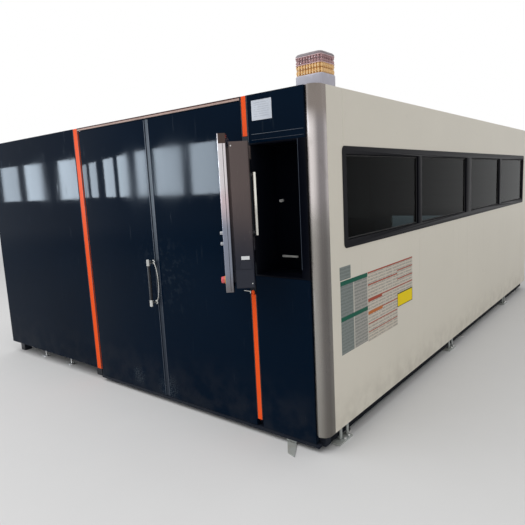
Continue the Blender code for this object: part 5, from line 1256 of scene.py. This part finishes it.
class DressBase(bpy.types.Operator):
    """Finish the base frame and its feet, and add the floor anchors"""
    bl_idname = "laser_cutter.base"
    bl_label = "Base"

    def execute(self, context):
        dress("base_paint", 0.002, "base_frame")
        dress("zinc", 0.0, *(f"levelling_foot_{number}" for number in range(1, 7)))
        self.add_anchors()
        return {"FINISHED"}

    def add_anchors(self):
        """Brackets that hold the base to the floor: one in front, three along the side."""
        floor, plate_top, top = 0.0003, 0.010, 0.098
        plates, bolts = [], bmesh.new()
        for along in (0.205, 2.30, 4.35):
            plates.append((at(-0.074, along - 0.060, floor), at(0, along + 0.110, plate_top)))
            for start, end in ((0, 0.024), (0.086, 0.110)):
                plates.append((at(-0.0385, along + start, plate_top - 0.0005), at(-0.029, along + end, top)))
            grow("row", bolts, screw_pattern(0.010, 0.012), "zinc", Count=2, Turn=(0, 0, 0),
                 Start=at(-0.014, along + 0.030, plate_top + 0.0002),
                 End=at(-0.014, along + 0.080, plate_top + 0.0002))
        plates.append((at(-0.326, 0.0205, 0.0065), at(-0.248, 0.028, 0.030)))
        shape = boxes(*plates)
        front = [(-0.231, -0.100), (-0.167, -0.119), (-0.248, 0.028), (-0.326, 0.028)]
        add_prism(shape, [at(x, y, 0).xy for x, y in front], floor, 0.007)
        finished("floor_anchors", shape, "anchor_paint", "cabin", 0.0012)
        finished("anchor_bolts", bolts, "zinc", "cabin")


class DressRoofAndRear(bpy.types.Operator):
    """Finish the roof, the rear wall and its shutter"""
    bl_idname = "laser_cutter.roof_and_rear"
    bl_label = "Roof and rear"

    def execute(self, context):
        dress("roof_paint", 0.002, "roof_panel")
        dress("paint_cream", 0.0015, "rear_wall")
        dress("roof_paint", 0.001, "rear_shutter")
        return {"FINISHED"}


class DressBed(bpy.types.Operator):
    """Finish the bed, with plugs along its rails and a linked energy chain"""
    bl_idname = "laser_cutter.bed"
    bl_label = "Bed and energy chain"

    def execute(self, context):
        chosen = settings().inside
        dress("bed_paint", 0.002, "machine_bed")
        low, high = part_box("machine_bed")
        pitch = chosen.plug_pitch
        start, end = low.y + pitch / 2, high.y - pitch / 2
        rows = [((SIDE + x, start, high.z), (SIDE + x, end, high.z)) for x in (-0.310, -2.090)]
        add_rail_plugs("rail_plugs", "cabin", 0.0075, round((end - start) / pitch) + 1, rows)
        self.add_chain(chosen.link_pitch)
        return {"FINISHED"}

    def add_chain(self, pitch):
        """Links of the energy chain along its shelf, round the bend and back."""
        low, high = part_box("energy_chain")
        half = 0.020
        radius = (high.z - low.z) / 2 - half
        start, bend, level = low.y + pitch / 2, high.y - radius - half, low.z + half
        points = [(start, level), *arc((bend, level + radius), radius, -90, 90, 16),
                  (start, level + 2 * radius)]
        path = poly_path([((low.x + high.x) / 2, y, z) for y, z in points])
        run = 2 * (bend - start) + math.pi * radius
        shape = bmesh.new()
        grow("path", shape, self.link(high.x - low.x, 2 * half * 0.94, pitch), "chain_plastic", path,
             Count=round(run / pitch) + 1)
        finished("energy_chain_links", shape, "chain_plastic", "cabin",
                 replaces=("energy_chain",))

    def link(self, width, height, pitch):
        """One link along Z: two side plates and two cross bars between them."""
        half, tall = width / 2, height / 2
        side, bar = 0.006, 0.004
        long, short = pitch * 0.47, pitch * 0.22
        return boxes(((-half, -tall, -long), (side - half, tall, long)),
                     ((half - side, -tall, -long), (half, tall, long)),
                     ((side - half, -tall, -short), (half - side, bar - tall, short)),
                     ((side - half, tall - bar, -short), (half - side, tall, short)))


class DressBridge(bpy.types.Operator):
    """Finish the bridge, the carriage and the cutting head"""
    bl_idname = "laser_cutter.bridge"
    bl_label = "Bridge and cutting head"

    def execute(self, context):
        dress("bridge_paint", 0.002, "bridge_beam")
        dress("bridge_paint", 0.0, "head_carriage")
        dress("slide_paint", 0.001, "height_slide")
        dress("turned_aluminium", 0.0, "cutting_head")
        dress("copper", 0.0, "cutting_nozzle")
        facing_rear = (-QUARTER, 0, 0)
        low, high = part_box("bridge_beam")
        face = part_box("head_carriage")[0].y - 0.0003
        rows = [((low.x + 0.06, face, level), (high.x - 0.16, face, level)) for level in (1.105, 1.245)]
        add_rail_plugs("bridge_rail_plugs", "bridge", 0.0060, 17, rows, facing_rear)
        low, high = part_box("head_carriage")
        screws = bmesh.new()
        for x in (low.x + 0.030, high.x - 0.030):
            grow("row", screws, screw_pattern(0.007, 0.006), "zinc", Count=5, Turn=facing_rear,
                 Start=(x, high.y + HAIR, low.z + 0.06), End=(x, high.y + HAIR, high.z - 0.06))
        finished("carriage_screws", screws, "zinc", "carriage")
        return {"FINISHED"}


class DressPallet(bpy.types.Operator):
    """Finish the slatted pallet with slag on its teeth, and the scrap tray"""
    bl_idname = "laser_cutter.pallet"
    bl_label = "Pallet and scrap tray"

    def execute(self, context):
        chosen = settings().inside
        repaint("cut_slats", "sheet_pallet")
        dress("worn_tray", 0.001, "scrap_tray")
        low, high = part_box("sheet_pallet")
        slats, rail, half, tooth = 26, 0.060, 0.002, 0.026
        bay = (high.y - low.y - 2 * rail) / (slats + 1)
        strips = bmesh.new()
        for number in range(1, slats + 1):
            y = low.y + rail + bay * number
            add_sheet(strips, (low.x + rail, y - half), (high.x - rail, y + half), high.z - tooth)
        bead = bmesh.new()
        bmesh.ops.create_icosphere(bead, subdivisions=1, radius=1.0)
        shape = bmesh.new()
        grow("scatter", shape, bead, "slag_beads", to_mesh("host", strips),
             Density=float(chosen.slag_density), Seed=chosen.slag_seed, Least=0.0015, Most=0.0042)
        finished("slat_slag", shape, "slag_beads", "pallet")
        return {"FINISHED"}


class SetStage(bpy.types.Operator):
    """Lay the floor, light the machine softly and set the camera"""
    bl_idname = "laser_cutter.stage"
    bl_label = "Stage"

    def execute(self, context):
        chosen = settings().stage
        self.add_floor(chosen)
        self.set_world(chosen)
        self.add_lights(chosen)
        self.add_camera(chosen)
        bpy.context.scene.view_settings.view_transform = "Standard"
        return {"FINISHED"}

    def seen(self, nodes):
        """1 for camera, mirror and glass rays."""
        rays = nodes.tree.nodes.new("ShaderNodeLightPath").outputs
        return any_of(*(Signal(nodes, rays[label])
                        for label in ("Is Camera Ray", "Is Glossy Ray", "Is Transmission Ray")))

    def add_floor(self, chosen):
        """A plain pale floor that fades into the white backdrop far away."""
        reach, fade_start, fade_end = 60.0, 9.0, 26.0
        mesh = to_mesh("floor", add_sheet(bmesh.new(), (-reach, -reach), (reach, reach), 0))
        floor = add_object("floor", mesh)
        finish = Finish("floor_paint", chosen.floor, 0.9, Specular_IOR_Level=0.1)
        finish.paint(shade(chosen.floor, 0.97), (finish.noise(3.0, 6.0), chosen.floor))
        away = finish.node("ShaderNodeVectorMath", {"operation": "LENGTH"}, {0: finish.point}, "Value")
        fade = finish.between(away, fade_start, fade_end) * self.seen(finish)
        glow = finish.node("ShaderNodeEmission", {}, {"Color": WHITE, "Strength": 1.0})
        mixed = finish.node("ShaderNodeMixShader", {}, {0: fade, 1: finish.shader.outputs[0], 2: glow})
        plug_in(finish.tree, finish.tree.nodes["Material Output"], {"Surface": mixed})
        mesh.materials.append(finish.material)

    def set_world(self, chosen):
        """Even soft light, behind a backdrop that is plain white."""
        world = bpy.data.worlds.new("studio")
        bpy.context.scene.world = world
        world.use_nodes = True
        world.node_tree.nodes.clear()
        nodes = Nodes(world.node_tree)
        soft, backdrop = (nodes.node("ShaderNodeBackground", {}, {"Color": WHITE, "Strength": radiance})
                          for radiance in (chosen.ambient, 1.0))
        mixed = nodes.node("ShaderNodeMixShader", {}, {0: self.seen(nodes), 1: soft, 2: backdrop})
        plug_in(nodes.tree, nodes.tree.nodes.new("ShaderNodeOutputWorld"), {"Surface": mixed})

    def add_box_light(self, name, size, radiance, place, target, mirrored):
        """A rectangular soft box with a given radiance, which lights or is only mirrored."""
        light = bpy.data.lights.new(name, "AREA")
        light.shape = "RECTANGLE"
        light.size, light.size_y = size
        light.energy = radiance * math.pi * size[0] * size[1]
        made = add_object(name, light)
        made.location = place
        made.rotation_euler = (target - place).to_track_quat("-Z", "Y").to_euler()
        made.visible_camera = False
        if mirrored:
            light.color = (0.74, 0.87, 1.0)
        made.visible_glossy = mirrored
        made.visible_diffuse = not mirrored

    def add_lights(self, chosen):
        """One soft box overhead, and a row in front that is seen only in reflections."""
        self.add_box_light("overhead", (9.0, 9.0), chosen.key, at(-2.5, -3.0, 8.0), at(-1.0, 1.0, 1.0),
                           False)
        row = ((-18.3, 1.3), (-16.5, 1.2), (-14.1, 1.3), (-12.4, 1.1), (-10.6, 0.9), (-9.2, 1.1),
               (-7.8, 1.0))
        first, last, dimmest = row[0][0], row[-1][0], 0.22
        for number, (x, width) in enumerate(row, start=1):
            place = at(x, -7.0, 2.15)
            radiance = chosen.boxes * (dimmest + (1 - dimmest) * (x - first) / (last - first))
            self.add_box_light(f"soft_box_{number}", (width, 1.30), radiance, place,
                               place + Vector(REARWARD), True)

    def add_camera(self, chosen):
        """The camera at the height and angle that the photograph was taken from."""
        data = bpy.data.cameras.new("camera")
        data.lens = chosen.lens
        data.clip_end = 200.0
        camera = add_object("camera", data)
        bpy.context.scene.camera = camera
        right = Vector((0.7839, 0.6189, -0.0504)).normalized()
        ahead = Vector((-0.6185, 0.7709, -0.1525))
        ahead = (ahead - right * ahead.dot(right)).normalized()
        turn = Matrix((right, right.cross(ahead), -ahead)).transposed()
        camera.matrix_world = Matrix.Translation(at(1.5232, -2.4417, 1.6617)) @ turn.to_4x4()


class MACHINE_PT_dressing(bpy.types.Panel):
    """Lists the steps that dress the machine and their settings"""
    bl_idname = "MACHINE_PT_dressing"
    bl_label = "Laser cutter"
    bl_space_type = "VIEW_3D"
    bl_region_type = "UI"
    bl_category = "Laser cutter"

    def draw(self, context):
        for step in STEPS:
            self.layout.operator(step.bl_idname)
        chosen = context.scene.laser_cutter
        for group in chosen.__annotations__:
            box = self.layout.box()
            box.label(text=group.capitalize())
            values = getattr(chosen, group)
            for key in values.__annotations__:
                box.prop(values, key)


GROUPS = (FrontSettings, SideSettings, ConsoleSettings, LampSettings, InsideSettings, BaseSettings,
          StageSettings, MachineSettings)
STEPS = (DressFront, AddFrontTrims, AddDoorHandle, AddCornerPillar, DressRecess, DressConsole, DressSide,
         AddSignalLamp, DressLeftBlock, DressBase, DressRoofAndRear, DressBed, DressBridge, DressPallet,
         SetStage)


def register():
    for part in (*GROUPS, *STEPS, MACHINE_PT_dressing):
        bpy.utils.register_class(part)
    bpy.types.Scene.laser_cutter = bpy.props.PointerProperty(type=MachineSettings)


def unregister():
    del bpy.types.Scene.laser_cutter
    for part in reversed((*GROUPS, *STEPS, MACHINE_PT_dressing)):
        bpy.utils.unregister_class(part)


def main():
    register()
    for step in STEPS:
        family, action = step.bl_idname.split(".")
        getattr(getattr(bpy.ops, family), action)()


if __name__ == "__main__":
    main()
